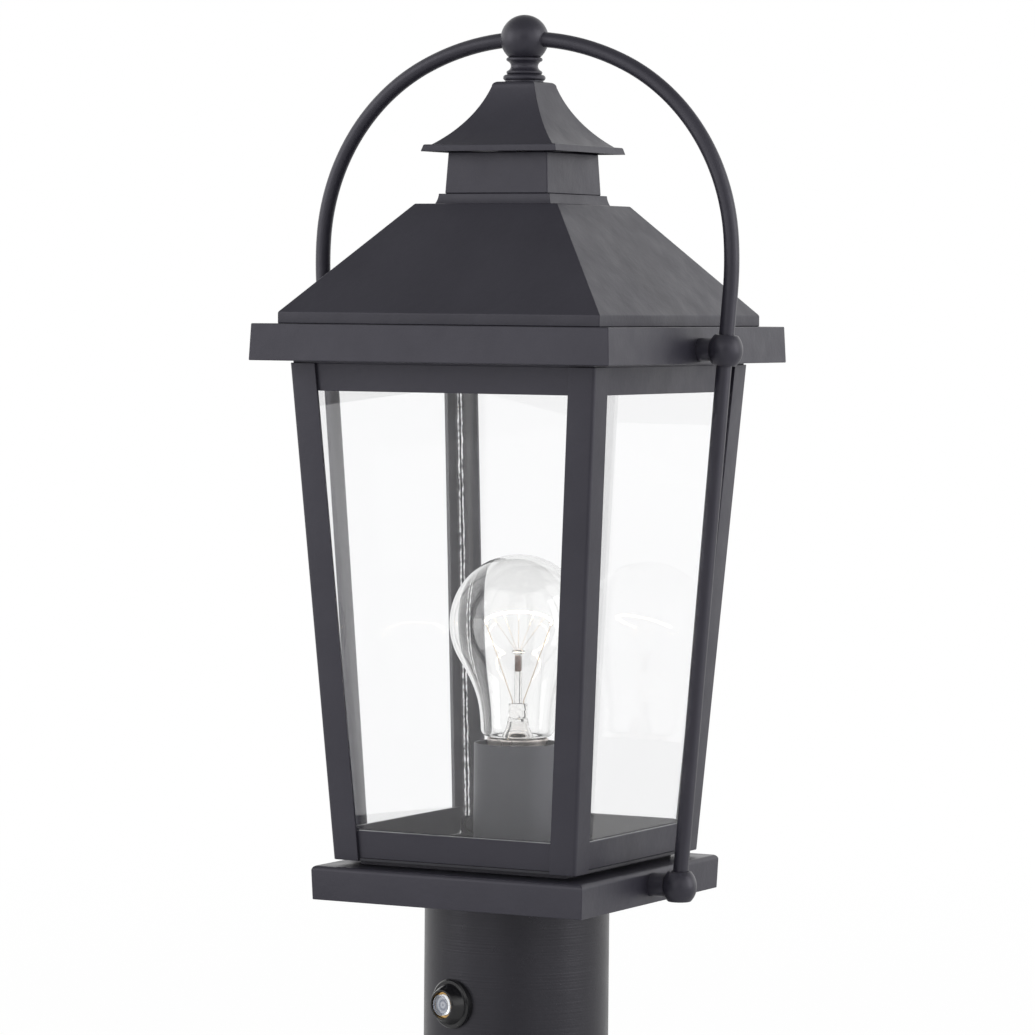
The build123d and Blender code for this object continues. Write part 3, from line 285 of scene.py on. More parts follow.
def moved(x, y, z):
    """Matrix that moves by millimetres."""
    return Matrix.Translation(Vector((x, y, z)) * MM)


def turned(angle, axis="Z"):
    """Matrix that turns by an angle in radians about an axis."""
    return Matrix.Rotation(angle, 4, axis)


def shift_out(point, share):
    """Scale the distance of a mesh point from the vertical axis."""
    point.co.x *= share
    point.co.y *= share


def cut(piece, cutter):
    """Cut one mesh out of another and drop the cutter."""
    pick(piece)
    take = piece.modifiers.new("cut", "BOOLEAN")
    take.operation = "DIFFERENCE"
    take.solver = "EXACT"
    take.object = cutter
    bpy.ops.object.modifier_apply(modifier=take.name)
    bpy.data.objects.remove(cutter)
    return piece


def facing(turn, height, reach=0.0):
    """Matrix that stands a turned piece on the tube's side: its +Z points outwards at a
    turn in degrees from the front, seen from above, and its +Y points up."""
    out = Vector((math.sin(math.radians(turn)), -math.cos(math.radians(turn)), 0))
    up = Vector((0, 0, 1))
    across = up.cross(out)
    axes = Matrix((across, up, out)).transposed().to_4x4()
    return Matrix.Translation(out * reach * MM + up * height * MM) @ axes


def finish_piece(piece, body, slot, material, *nodes):
    """Give a piece its finish, put it on its body and let it stand for CAD nodes."""
    piece.data.materials.clear()
    piece.data.materials.append(material)
    if nodes:
        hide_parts(*nodes)
    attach(piece, body)
    return piece


def grainy(tree, size, low_value, high_value, detail=2.0):
    """Noise of a grain size in metres, mapped to a range of values."""
    where = node(tree, "TexCoord").outputs["Object"]
    grains = node(tree, "TexNoise", {"Scale": 1 / size, "Detail": detail, "Vector": where})
    ends = {"From Min": 0.3, "From Max": 0.7, "To Min": low_value, "To Max": high_value}
    return node(tree, "MapRange", {**ends, "Value": grains.outputs["Fac"]}).outputs["Result"]


def tinted(tree, factor, dark, pale):
    """Colour between two tones by a factor."""
    tones = {"A": (*dark, 1), "B": (*pale, 1), "Factor": factor}
    return node(tree, "Mix", tones, data_type="RGBA").outputs["Result"]


def bumped(tree, height, strength, distance, under=None):
    """Normal turned by a bump's height, over another bump's normal."""
    inputs = {"Strength": strength, "Distance": distance, "Height": height}
    if under:
        inputs["Normal"] = under
    return node(tree, "Bump", inputs).outputs["Normal"]


def skin(name, dark, pale, gloss_low, gloss_high, bump, grain, metallic=0.0):
    """Surface whose tone and gloss change slowly over the piece, with a fine grain over a
    faint wave."""
    finish, tree, shader = new_material(name)
    fine = bumped(tree, grainy(tree, grain, 0, 1), bump, 0.0002)
    wave = bumped(tree, grainy(tree, 0.004, 0, 1), bump, 0.0006, fine)
    tone = tinted(tree, grainy(tree, 0.03, 0, 1), dark, pale)
    gloss = grainy(tree, 0.012, gloss_low, gloss_high)
    feed(tree, shader, {"Metallic": metallic, "Base Color": tone, "Roughness": gloss, "Normal": wave})
    return finish


def dress(finish, inputs):
    """Set or link inputs of a material's shader."""
    feed(finish.node_tree, finish.node_tree.nodes["Principled BSDF"], inputs)


def powder_coat(name, dark, pale, gloss_low=0.36, gloss_high=0.44, bump=0.06):
    """Satin powder coat: melted grains under a millimetre across, faint orange peel."""
    coat = skin(name, dark, pale, gloss_low, gloss_high, bump, 0.0007)
    dress(coat, {"Specular Tint": (0.93, 0.91, 1.0, 1)})
    return coat


tube_top = high("fitter_tube")
SHOULDER = 70.0
profile = [(SOCKET_R, 0), (TUBE_R, 0), (TUBE_R, tube_top), (UPPER_BORE_R, tube_top)]
profile += [(UPPER_BORE_R, SHOULDER), (SOCKET_R, SHOULDER), (SOCKET_R, 0)]
fitter_tube = ringed("fitter_tube_turned", profile)
SET_SCREW_TURNS = (30.0, 150.0, 270.0)
SET_SCREW_HEIGHT = 22.0
SCREW_HOLE_R = 3.05
CELL_TURN = -15.0
CELL_HEIGHT = sum(span("photocell_ring")) / 2
CELL_HOLE_R = 8.05
holes = [(turn, SET_SCREW_HEIGHT, SCREW_HOLE_R) for turn in SET_SCREW_TURNS]
for turn, height, radius in [*holes, (CELL_TURN, CELL_HEIGHT, CELL_HOLE_R)]:
    cut(fitter_tube, place(ringed("drill", plug(radius, 30, 50), 32), facing(turn, height)))
soften(fitter_tube, 0.35)
TUBE_DARK, TUBE_PALE = (0.0085, 0.0082, 0.0110), (0.0105, 0.0100, 0.0135)
tube_black = powder_coat("tube_black", TUBE_DARK, TUBE_PALE, 0.27, 0.32, 0.03)
# Turning left fine rings round the tube under the coat.
tree = tube_black.node_tree
where = node(tree, "TexCoord").outputs["Object"]
squeezed = node(tree, "Mapping", {"Scale": (1, 1, 160), "Vector": where}).outputs[0]
rings = node(tree, "TexNoise", {"Scale": 10, "Vector": squeezed}).outputs["Fac"]
under = tree.nodes["Principled BSDF"].inputs["Normal"].links[0].from_socket
dress(tube_black, {"Normal": bumped(tree, rings, 0.25, 0.0002, under)})
finish_piece(fitter_tube, "lantern_base", "black_coat", tube_black, "fitter_tube")

# ---- Set screws ----
# Three blackened cheese-head screws with one slot. They go through threaded holes near the
# tube's rim and clamp the post.
SCREW_TIP = SOCKET_R + 0.3
SCREW_SHANK = 6.0


def finely(radius, start, end, pitch):
    """Profile points up a threaded length, six to each turn of the thread."""
    steps = max(2, round(abs(end - start) / pitch * 6))
    return [(radius, start + (end - start) * k / steps) for k in range(steps + 1)]


def press_thread(piece, radius, depth, pitch, bottom, top, sheet=0.0):
    """Sink a screw thread into a turned surface, or roll a rounder one into a wall of sheet.
    It fades out over half a turn at its ends."""
    for point in piece.data.vertices:
        x, y, z = point.co / MM
        away = math.hypot(x, y)
        if not radius - sheet - 0.02 <= away <= radius + 0.02 or not bottom <= z <= top:
            continue
        fade = min(1.0, (z - bottom) / pitch * 2, (top - z) / pitch * 2)
        turn = (z / pitch - math.atan2(y, x) / (2 * math.pi)) % 1.0
        rolled = (1 - math.cos(2 * math.pi * turn)) / 2
        form = rolled if sheet else max(0.0, abs(2 * turn - 1) - 0.15) / 0.85
        shrink = 1 - depth * fade * form / away
        shift_out(point, shrink)
    return piece


def blade(width, length, depth, height):
    """Box on the axis that cuts a slot, its middle at a height."""
    bpy.ops.mesh.primitive_cube_add(size=1, location=(0, 0, height * MM))
    box = bpy.context.object
    box.scale = (width * MM, length * MM, depth * MM)
    bpy.ops.object.transform_apply()
    return box


def slotted(name, pin_r, pin, head_r, head, slot_wide, slot_deep, dome=0.6, pitch=0.0):
    """Screw along +Z: its shank below z = 0, its head above, with a cut slot."""
    profile = [(0.01, -pin), (pin_r - 0.25, -pin)]
    profile += finely(pin_r, -pin + 0.25, 0, pitch) if pitch else [(pin_r, -pin + 0.25), (pin_r, 0)]
    profile += [(head_r, 0)]
    profile += arc(head_r - dome, head - dome, dome, 0, 90, 5)
    profile += [(0.01, head)]
    screw = ringed(name, profile, 40)
    cut(screw, blade(slot_wide, head_r * 3, slot_deep * 2, head))
    if pitch:
        press_thread(screw, pin_r, pitch * 0.55, pitch, -pin, -0.1)
        return soften(screw, 0)
    return soften(screw, 0.08, 2)


screw_black = powder_coat("screw_black", (0.018, 0.018, 0.020), (0.030, 0.030, 0.034), 0.25, 0.4, 0.04)
for number, turn in enumerate(SET_SCREW_TURNS, start=1):
    set_screw = slotted(f"set_screw_{number}_slotted", 3.0, SCREW_SHANK, 5.0, 3.5, 1.4, 1.4, 0.5, 1.0)
    stand = facing(turn, SET_SCREW_HEIGHT, SCREW_TIP + SCREW_SHANK)
    place(set_screw, stand @ turned(math.pi / 2))
    finish_piece(set_screw, f"screw_{number}", "screw_steel", screw_black, f"set_screw_{number}")

# ---- Tube flange ----
# A ring welded round the tube's top. Four screws clamp it up against the pan's underside.
BASE_SCREW_AT = 36.0
BASE_SCREW_R = 2.4
CORNERS = {"front_left": (-1, -1), "front_right": (1, -1), "back_right": (1, 1), "back_left": (-1, 1)}
flange_low, flange_top = span("tube_flange")
FLANGE_R = 58.0
WELD_R = 2.3
tube_flange = ringed("tube_flange_turned", flat_ring(TUBE_R, FLANGE_R, flange_low, flange_top))
for sx, sy in CORNERS.values():
    drill = ringed("drill", plug(BASE_SCREW_R, flange_low - 1, flange_top + 1), 24)
    cut(tube_flange, place(drill, moved(sx * BASE_SCREW_AT, sy * BASE_SCREW_AT, 0)))
finish_piece(soften(tube_flange, 0.25, 2), "lantern_base", "black_coat", tube_black, "tube_flange")
root = TUBE_R - 0.2
bead = arc(root, flange_low, WELD_R, -80, -5, 5)
bead = [(root, flange_low - 2.2), *bead, (root, flange_low), (root, flange_low - 2.2)]
weld = ringed("tube_weld_bead", bead, 256)
for point in weld.data.vertices:
    swell = 1 + 0.006 * abs(math.sin(90 * math.atan2(point.co.y, point.co.x)))
    if math.hypot(point.co.x, point.co.y) / MM > TUBE_R + 0.1:
        shift_out(point, swell)
finish_piece(soften(weld, 0, limit=60), "lantern_base", "black_coat", tube_black)

# ---- Base pan ----
# An inverted tray of pressed sheet, mitred at its corners, with its top edges rolled over.
# It caps the tube and carries the cage, and below it is open.
PAN_HALF = 65.8
PAN_DRAFT = 0.5
PAN_SHEET = 1.5
PAN_EDGE_R = 2.1
PAN_HOLE = 5.0
pan_low, pan_top = span("base_pan")
bend = pan_top - PAN_EDGE_R
pan_profile = [(PAN_HALF - PAN_DRAFT - PAN_SHEET, pan_low), (PAN_HALF - PAN_DRAFT, pan_low)]
pan_profile += arc(PAN_HALF - PAN_EDGE_R, bend, PAN_EDGE_R, 0, 90, 8)
pan_profile += [(PAN_HOLE, pan_top), (PAN_HOLE, pan_top - PAN_SHEET)]
pan_profile += arc(PAN_HALF - PAN_EDGE_R, bend, PAN_EDGE_R - PAN_SHEET, 90, 0, 6)
pan_profile += pan_profile[:1]
base_pan = soften(ringed("base_pan_pressed", pan_profile, 4), 0.35, limit=25)
satin_black = powder_coat("satin_black", (0.0195, 0.0185, 0.0265), (0.0250, 0.0240, 0.0330))


def satin(piece, body, *nodes):
    """Finish a piece in the frame's satin black coat."""
    return finish_piece(piece, body, "black_coat", satin_black, *nodes)


satin(base_pan, "lantern_base", "base_pan")

# ---- Floor plate and plinth ----
# The cage stands on a thin plate, whose edge shows as a pale lip under the panes, and a
# smaller plinth plate under it leaves a dark gap above the pan.
CAGE_HALF = 58.8
POST_LEG = 12.4
POST_SHEET = 1.5
LIP = 0.7


def slab(name, corners, push):
    """Flat piece drawn as an outline of corners in millimetres, pushed through by a vector."""
    bpy.ops.object.select_all(action="DESELECT")
    bpy.ops.mesh.primitive_circle_add(vertices=len(corners), radius=0.01, fill_type="NGON")
    piece = bpy.context.object
    piece.name = name
    for point, corner in zip(piece.data.vertices, corners):
        point.co = Vector(corner) * MM
    edit_all(piece)
    bpy.ops.mesh.extrude_region_move(TRANSFORM_OT_translate={"value": Vector(push) * MM})
    bpy.ops.object.mode_set(mode="OBJECT")
    close_up(piece)
    return piece


floor_low, floor_top = span("floor_plate")
edge_in = CAGE_HALF - POST_SHEET - 0.1
edge_out = CAGE_HALF - LIP
run = CAGE_HALF - POST_LEG - 0.2
outline = []
for k in range(4):
    spin = Matrix.Rotation(k * math.pi / 2, 2)
    notch = [(edge_out, run), (edge_in, run), (edge_in, edge_in), (run, edge_in), (run, edge_out)]
    outline += [(*(spin @ Vector(point)), floor_low) for point in notch]
floor_plate = soften(slab("floor_plate_sheared", outline, (0, 0, floor_top - floor_low)), 0.15, 2)
matt_black = powder_coat("matt_black", (0.018, 0.018, 0.021), (0.024, 0.024, 0.028), 0.52, 0.62)
finish_piece(floor_plate, "lantern_base", "black_coat", matt_black, "floor_plate")
plinth_low, plinth_top = span("plinth_plate")
PLINTH_HALF = 50.0
plinth_plate = ringed("plinth_plate_sheared", flat_ring(PAN_HOLE, PLINTH_HALF, plinth_low, plinth_top), 4)
satin(soften(plinth_plate, 0.15, 2), "lantern_base", "plinth_plate")

# ---- Base screws and nuts ----
# Four zinc-plated pan-head screws with a cross recess clamp floor, plinth, pan and tube
# flange together. Their nuts sit under the flange.
def hex_nut(name, across, height, bore):
    """Hexagon nut standing on z = 0, its corners chamfered at both ends."""
    flat, corner = across / 2, across / math.sqrt(3)
    slope = (corner - flat) * 0.6
    profile = [(bore, 0), (flat - 0.05, 0), (corner, slope), (corner, height - slope)]
    profile += [(flat - 0.05, height), (bore, height), (bore, 0)]
    nut = ringed(name, profile, 48)
    for point in nut.data.vertices:
        away = math.hypot(point.co.x, point.co.y)
        turn = math.atan2(point.co.y, point.co.x) % (math.pi / 3) - math.pi / 6
        reach = flat * MM / math.cos(turn)
        if away > reach:
            shift_out(point, reach / away)
    return soften(nut, 0, limit=25)


def bare_metal(name, dark, pale, gloss_low, gloss_high, bump=0.05, grain=0.0012):
    """Bare or plated metal under a fine grain."""
    return skin(name, dark, pale, gloss_low, gloss_high, bump, grain, 1.0)


def joined(name, pieces):
    """Several finished meshes as one piece."""
    bpy.ops.object.select_all(action="DESELECT")
    for part in pieces:
        part.select_set(True)
    bpy.context.view_layer.objects.active = pieces[0]
    bpy.ops.object.join()
    whole = bpy.context.object
    whole.name = name
    return whole


zinc = bare_metal("zinc_plate", (0.52, 0.52, 0.50), (0.64, 0.63, 0.58), 0.3, 0.45)


def plated(piece, body, *nodes):
    """Finish a piece in zinc plate."""
    return finish_piece(piece, body, "plated_steel", zinc, *nodes)


nut_low, nut_high = span("base_nuts")
shank_low, head_top = span("base_screws")
BASE_HEAD_R = 4.6
BASE_PITCH = 0.8
screws, nuts = [], []
for sx, sy in CORNERS.values():
    at = moved(sx * BASE_SCREW_AT, sy * BASE_SCREW_AT, 0)
    thread = finely(BASE_SCREW_R, shank_low + 0.3, nut_high + 1, BASE_PITCH)
    profile = [(0.01, shank_low), (BASE_SCREW_R - 0.3, shank_low), *thread, (BASE_SCREW_R, floor_top)]
    profile += [(BASE_HEAD_R, floor_top), *arc(BASE_HEAD_R - 1.6, head_top - 1.6, 1.6, 0, 90, 6)]
    screw = ringed("base_screw", profile + [(0.01, head_top)], 32)
    for width, length in ((1.2, 5.0), (5.0, 1.2)):
        cut(screw, blade(width, length, 2.4, head_top))
    press_thread(screw, BASE_SCREW_R, 0.45, BASE_PITCH, shank_low, nut_high + 1)
    screws.append(place(soften(screw, 0), at))
    nut = hex_nut("base_nut", 8.0, nut_high - nut_low, BASE_SCREW_R + 0.02)
    nuts.append(place(nut, at @ moved(0, 0, nut_low)))
plated(joined("base_screws_recessed", screws), "lantern_base", "base_screws")
plated(joined("base_nuts_chamfered", nuts), "lantern_base", "base_nuts")

# ---- Corner posts ----
# Four strips of sheet bent to an angle section, about 12 mm each leg. They lean outwards along
# both faces, so that the cage widens from its foot to its top.
LEAN = 0.069
SLOPE = math.cos(math.atan(LEAN))
POST_BEND_R = 1.6
cage_low, cage_top = span("corner_post_front_left")
rise = cage_top - cage_low
heel, inner, toe = CAGE_HALF, CAGE_HALF - POST_SHEET, CAGE_HALF - POST_LEG
heel_bend = arc(heel - POST_BEND_R, heel - POST_BEND_R, POST_BEND_R, 0, 90, 6)
angle_section = [(inner, toe), (heel, toe), *heel_bend, (toe, heel), (toe, inner), (inner, inner)]
for corner, (sx, sy) in CORNERS.items():
    foot = [(sx * x, sy * y, cage_low) for x, y in angle_section]
    post = slab(f"post_{corner}", foot, (sx * LEAN * rise, sy * LEAN * rise, rise))
    soften(post, 0.2, 2)
    satin(post, "lantern_base", f"corner_post_{corner}")


# ---- Rails ----
# Flat strips behind the posts' legs along the top and the foot of each face. The panes
# stand behind them, and the lower ones hide the panes' lower edges.
def cage_half(height):
    """Half of the cage's width over its posts at a height, in millimetres."""
    return CAGE_HALF + LEAN * (height - cage_low)


def face_strip(name, side, bottom, top, setback, thickness, end_gap, corner_cut=0.0, nips=()):
    """Strip or pane in one leaning face of the cage, 0 for the front, then anticlockwise.
    Nips are small depths by which a pane's upright edges are chipped on their way up."""
    corners = []
    for height, sign in ((bottom, 1), (top, -1)):
        near, far = height, height + sign * corner_cut
        ends = [(cage_half(near) - end_gap - corner_cut, near), (cage_half(far) - end_gap, far)]
        if not corner_cut:
            ends = ends[:1]
        right = ends if sign == 1 else ends[::-1]
        corners.append([(x, setback / SLOPE - cage_half(z), z) for x, z in right])
    chipped = []
    for k, nip in enumerate(nips, start=1):
        at = Vector(corners[0][-1]).lerp(Vector(corners[1][0]), k / (len(nips) + 1))
        chipped.append((at.x - nip, at.y, at.z))
    right_side = corners[0] + chipped + corners[1]
    outline = right_side + [(-x, y, z) for x, y, z in right_side[::-1]]
    piece = slab(name, outline, (0, thickness / SLOPE, 0))
    return place(piece, turned(side * math.pi / 2))


SHEET = 1.2
RAIL_HEIGHT = 11.8
RAIL_END_GAP = 4.6
SIDES = ("front", "right", "back", "left")

for name, foot in (("bottom_rails", floor_top), ("top_rails", cage_top - RAIL_HEIGHT)):
    strips = [
        face_strip(f"{name}_{k}", k, foot, foot + RAIL_HEIGHT, POST_SHEET, SHEET, RAIL_END_GAP)
        for k in range(4)
    ]
    for strip in strips:
        soften(strip, 0.2, 2)
    satin(joined(f"{name}_sheared", strips), "lantern_base", name)

# ---- Panes ----
# Four panes of clear float glass, 2 mm thick, behind the rails and the posts' legs. Their
# edges are only sheared and nipped, and their corners are clipped. The glints along their
# upright edges are painted: those edges glow in spotted patches.
GLASS_SETBACK = POST_SHEET + SHEET + 0.1
GLASS_THICK = 2.0
GLASS_END_GAP = GLASS_SETBACK + GLASS_THICK + 0.4
GLASS_CUT = 6.0


def clear_glass(name, tint, roughness=0.0):
    """Clear glass that lets the lamps' light through to what stands behind it."""
    glass, tree, shader = new_material(name)
    feed(tree, shader, {"Base Color": (*tint, 1), "Roughness": roughness})
    feed(tree, shader, {"IOR": 1.5, "Transmission Weight": 1.0})
    through_it = node(tree, "BsdfTransparent", {"Color": (0.93, 0.93, 0.94, 1)}).outputs[0]
    choice = node(tree, "MixShader", {"Fac": rays(tree, "Shadow"), 1: shader.outputs[0], 2: through_it})
    feed(tree, tree.nodes["Material Output"], {"Surface": choice.outputs[0]})
    return glass


float_glass = clear_glass("float_glass", (0.988, 0.989, 0.992))
# Painted glints: the panes' upright edges are pale in spotted patches and glow with that colour through an
# emission, though they are no lamp. The pale patches are partly the fracture's own frosted colour.
glowing_glass_edge = skin("glass_edge_painted_glints", (0.30, 0.31, 0.33), (0.95, 0.95, 0.95), 0.2, 0.6, 0.4, 0.0008)
chip_and_glint_patches = grainy(glowing_glass_edge.node_tree, 0.0022, 0, 1, 3.0)
frost_and_painted_glints = tinted(glowing_glass_edge.node_tree, chip_and_glint_patches, (0.02, 0.02, 0.03), (0.97, 0.97, 0.97))
dress(glowing_glass_edge, {"Base Color": frost_and_painted_glints, "Emission Color": frost_and_painted_glints, "Emission Strength": 0.9})
nipping = random.Random(4)
for k, side in enumerate(SIDES):
    nips = [nipping.choice((0.0, 0.05, 0.12, 0.25)) for _ in range(90)]
    pane_top = high(f"glass_{side}")
    depths = (GLASS_SETBACK, GLASS_THICK, GLASS_END_GAP, GLASS_CUT)
    pane = soften(face_strip(f"pane_{side}", k, floor_top, pane_top, *depths, nips), 0.12, 1)
    finish_piece(pane, "lantern_base", "pane_glass", float_glass, f"glass_{side}")
    pane.data.materials.append(glowing_glass_edge)
    along = Matrix.Rotation(k * math.pi / 2, 3, "Z") @ Vector((1, 0, 0))
    for face in pane.data.polygons:
        if abs(face.normal.dot(along)) > 0.6:
            face.material_index = 1

# ---- Sealant beads ----
# A thin bead of clear sealant runs along the ledge on top of each lower rail and holds the
# pane against it. It ends short of the posts. It is drawn opaque and pale grey, which is a
# painted highlight: the thin bright line of light along the rails' top edges.
# The bead's pale grey is a painted highlight, not the sealant's own colour.
bead_grey_as_highlight = skin("sealant_grey_as_painted_highlight", (0.10, 0.10, 0.11), (0.55, 0.56, 0.57), 0.25, 0.4, 0.15, 0.0009)
rail_top = high("bottom_rails")
beads = []
for k in range(4):
    bead = face_strip(f"bead_{k}", k, rail_top - 0.05, rail_top + 0.3, 2.3, 0.45, POST_LEG + 0.3)
    beads.append(soften(bead, 0.14, 2))
finish_piece(joined("sealant_beads", beads), "lantern_base", "pane_glass", bead_grey_as_highlight)

# ---- Corner clips and screws ----
# Small plates across the corners, top and foot, each held by one slotted screw that goes
# between the clipped corners of two panes into the post's heel.
CLIP_WIDE = 9.0
CLIP_HIGH = 8.0
CLIP_SHEET = 1.0
CLIP_PIN_R = 1.25
CLIP_PIN = 9.55
CLIP_HEAD_R = 3.3
CLIP_HEAD = 1.9
CLIP_SLOT = 0.9


def rounded_plate(name, width, height, radius, thickness):
    """Plate with round corners, its back on z = 0 and its middle on the axis."""
    x, y = width / 2 - radius, height / 2 - radius
    centres = ((x, y, 0), (-x, y, 90), (-x, -y, 180), (x, -y, 270))
    corners = [(*point, 0) for cx, cy, turn in centres for point in arc(cx, cy, radius, turn, turn + 90, 5)]
    return slab(name, corners, (0, 0, thickness))


clips, pins = [], []
for sx, sy in CORNERS.values():
    for height in (floor_top + CLIP_HIGH / 2 + 0.1, high("glass_front") - CLIP_HIGH / 2):
        pane_inside = cage_half(height) - (GLASS_SETBACK + GLASS_THICK) / SLOPE
        back = pane_inside - CLIP_WIDE / 2 / math.sqrt(2) - 0.02
        inwards = Vector((-sx, -sy, 2 * LEAN)).normalized()
        across = Vector((sy, -sx, 0)).normalized()
        stand = Matrix((across, inwards.cross(across), inwards)).transposed().to_4x4()
        stand = moved(sx * back, sy * back, height) @ stand
        clip = rounded_plate("clip", CLIP_WIDE, CLIP_HIGH, 1.5, CLIP_SHEET)
        clips.append(place(soften(clip, 0.12, 2), stand))
        pin = CLIP_PIN + CLIP_SHEET
        screw = slotted("clip_screw", CLIP_PIN_R, pin, CLIP_HEAD_R, CLIP_HEAD, CLIP_SLOT, CLIP_SLOT)
        pins.append(place(screw, stand @ moved(0, 0, CLIP_SHEET)))
satin(joined("corner_clips_cut", clips), "lantern_base", "corner_clips")
finish_piece(joined("clip_screws_slotted", pins), "lantern_base", "screw_steel", screw_black, "clip_screws")

# ---- Top frame ----
# A flat ring on top of the cage. The roof rests on it, a little inside the fascia's edge,
# so that a dark line shows between cage and roof.
# The photograph shows the ring wider on each side than the CAD has it.
FRAME_WIDER = 1.4
FRAME_WIDE = 12.4
frame_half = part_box("top_frame")[1].x / MM + FRAME_WIDER
section = flat_ring(frame_half - FRAME_WIDE, frame_half, *span("top_frame"))
top_frame = ringed("top_frame_sheared", section, 4)
satin(soften(top_frame, 0.15, 2), "lantern_base", "top_frame")

# ---- Fascia ----
# The roof's deep square edge: sheet folded to a channel, its front slightly flared, with a
# flange in at the top and a wider one at the foot that rests on the cage.
FASCIA_LOW_HALF = 86.4
FASCIA_TOP_HALF = 85.7
FLANGE_HALF = 62.0
OPEN_HALF = 74.0
fascia_low, fascia_top = span("fascia")
flange_line, top_line = fascia_low + SHEET, fascia_top - SHEET
section = [(FLANGE_HALF, fascia_low), (FASCIA_LOW_HALF, fascia_low), (FASCIA_TOP_HALF, fascia_top)]
section += [(OPEN_HALF, fascia_top), (OPEN_HALF, top_line), (FASCIA_TOP_HALF - SHEET, top_line)]
section += [(FASCIA_LOW_HALF - SHEET, flange_line), (FLANGE_HALF, flange_line), (FLANGE_HALF, fascia_low)]
fascia = ringed("fascia_folded", section, 4)
satin(soften(fascia, 0.45, 4), "roof", "fascia")

# ---- Hip roof ----
# Four flat slopes of sheet, soldered along the hips, on a short upright skirt. It is open
# below, and its flat top carries the cupola.
SKIRT_HALF = 77.4
SKIRT_HEIGHT = 4.9
HIP_TOP_HALF = 34.6
STUD_HOLE_R = 3.5
hip_low, hip_top = span("hip_roof")
skirt_top = hip_low + SKIRT_HEIGHT
section = [(SKIRT_HALF, hip_low), (SKIRT_HALF, skirt_top), (HIP_TOP_HALF, hip_top), (STUD_HOLE_R, hip_top)]
section += [(STUD_HOLE_R, hip_top - SHEET), (HIP_TOP_HALF - 0.5, hip_top - SHEET)]
section += [(SKIRT_HALF - SHEET, skirt_top - 0.5), (SKIRT_HALF - SHEET, hip_low), (SKIRT_HALF, hip_low)]
hip_roof = ringed("hip_roof_soldered", section, 4)
satin(soften(hip_roof, 0.45, 4, limit=20), "roof", "hip_roof")

# ---- Cupola base ----
# A square moulding under the cupola, its sides hollowed to a cove and mitred.
COVE_TOP = 27.05
COVE_FOOT = 28.2
cove_low, cove_top = span("cupola_base")


def through(start, middle, end, steps):
    """Points of the arc from start to end through a middle point of a profile."""
    (ax, ay), (bx, by), (cx, cy) = start, middle, end
    twice = 2 * (ax * (by - cy) + bx * (cy - ay) + cx * (ay - by))
    a2, b2, c2 = ax * ax + ay * ay, bx * bx + by * by, cx * cx + cy * cy
    ox = (a2 * (by - cy) + b2 * (cy - ay) + c2 * (ay - by)) / twice
    oy = (a2 * (cx - bx) + b2 * (ax - cx) + c2 * (bx - ax)) / twice
    first = math.atan2(ay - oy, ax - ox)
    sweep_angle = math.atan2(cy - oy, cx - ox) - first
    passing = math.atan2(by - oy, bx - ox) - first
    turn = 2 * math.pi
    clockwise = passing % turn > sweep_angle % turn
    sweep_angle = sweep_angle % turn - (turn if clockwise else 0)
    radius = math.hypot(ax - ox, ay - oy)
    angles = [first + sweep_angle * k / steps for k in range(steps + 1)]
    return [(ox + radius * math.cos(t), oy + radius * math.sin(t)) for t in angles]


hollow = through((COVE_FOOT, cove_low), (COVE_TOP + 0.45, cove_low + 1.7), (COVE_TOP, cove_top - 0.5), 7)
cove_profile = [(STUD_HOLE_R, cove_low), *hollow, (COVE_TOP, cove_top)]
cove_profile += [(STUD_HOLE_R, cove_top), (STUD_HOLE_R, cove_low)]
cupola_base = soften(ringed("cupola_base_cast", cove_profile, 4), 0.2, 3, limit=25)
satin(cupola_base, "roof", "cupola_base")

# ---- Cupola box ----
# The small square lantern-box under the cap: sheet bent round four corners, a little wider
# at its foot.
BOX_FOOT = 25.1
BOX_TOP = 24.1
box_low, box_top = span("cupola_box")
section = [(BOX_FOOT, box_low), (BOX_TOP, box_top), (BOX_TOP - SHEET, box_top)]
cupola_box = ringed("cupola_box_bent", section + [(BOX_FOOT - SHEET, box_low), (BOX_FOOT, box_low)], 4)
satin(soften(cupola_box, 0.9, 4), "roof", "cupola_box")

# ---- Flared cap ----
# The small roof over the cupola: four concave sweeps that meet in ridges, from a rounded
# lip up to a small flat under the finial. It is hollow below.
LIP_HALF = 32.9
CAP_FLAT = 10.2
cap_low, cap_top = span("flared_cap")
lip_top = cap_low + 3.0
cap_profile = [(LIP_HALF - 1.4, cap_low), (LIP_HALF, cap_low)]
cap_profile += arc(LIP_HALF - 1.4, cap_low + 2.3, 0.7, 0, 90, 4)
crest = (CAP_FLAT + 0.3, cap_top - 2.2)
cap_profile += through((LIP_HALF - 3.4, lip_top), (18.0, cap_low + 14.3), crest, 26)
cap_profile += arc(CAP_FLAT - 1.9, cap_top - 2.2, 2.2, 0, 90, 6)
cap_profile += [(STUD_HOLE_R, cap_top), (STUD_HOLE_R, cap_top - 3.4), (9.0, cap_top - 3.4)]
cap_profile += through((9.0, cap_top - 3.4), (16.6, cap_low + 13.6), (LIP_HALF - 4.6, cap_low + 1.5), 12)[1:]
cap_profile += [(LIP_HALF - 1.4, cap_low + 1.5), (LIP_HALF - 1.4, cap_low)]
flared_cap = soften(ringed("flared_cap_cast", cap_profile, 4), 0.2, 3, limit=28)
satin(flared_cap, "roof", "flared_cap")

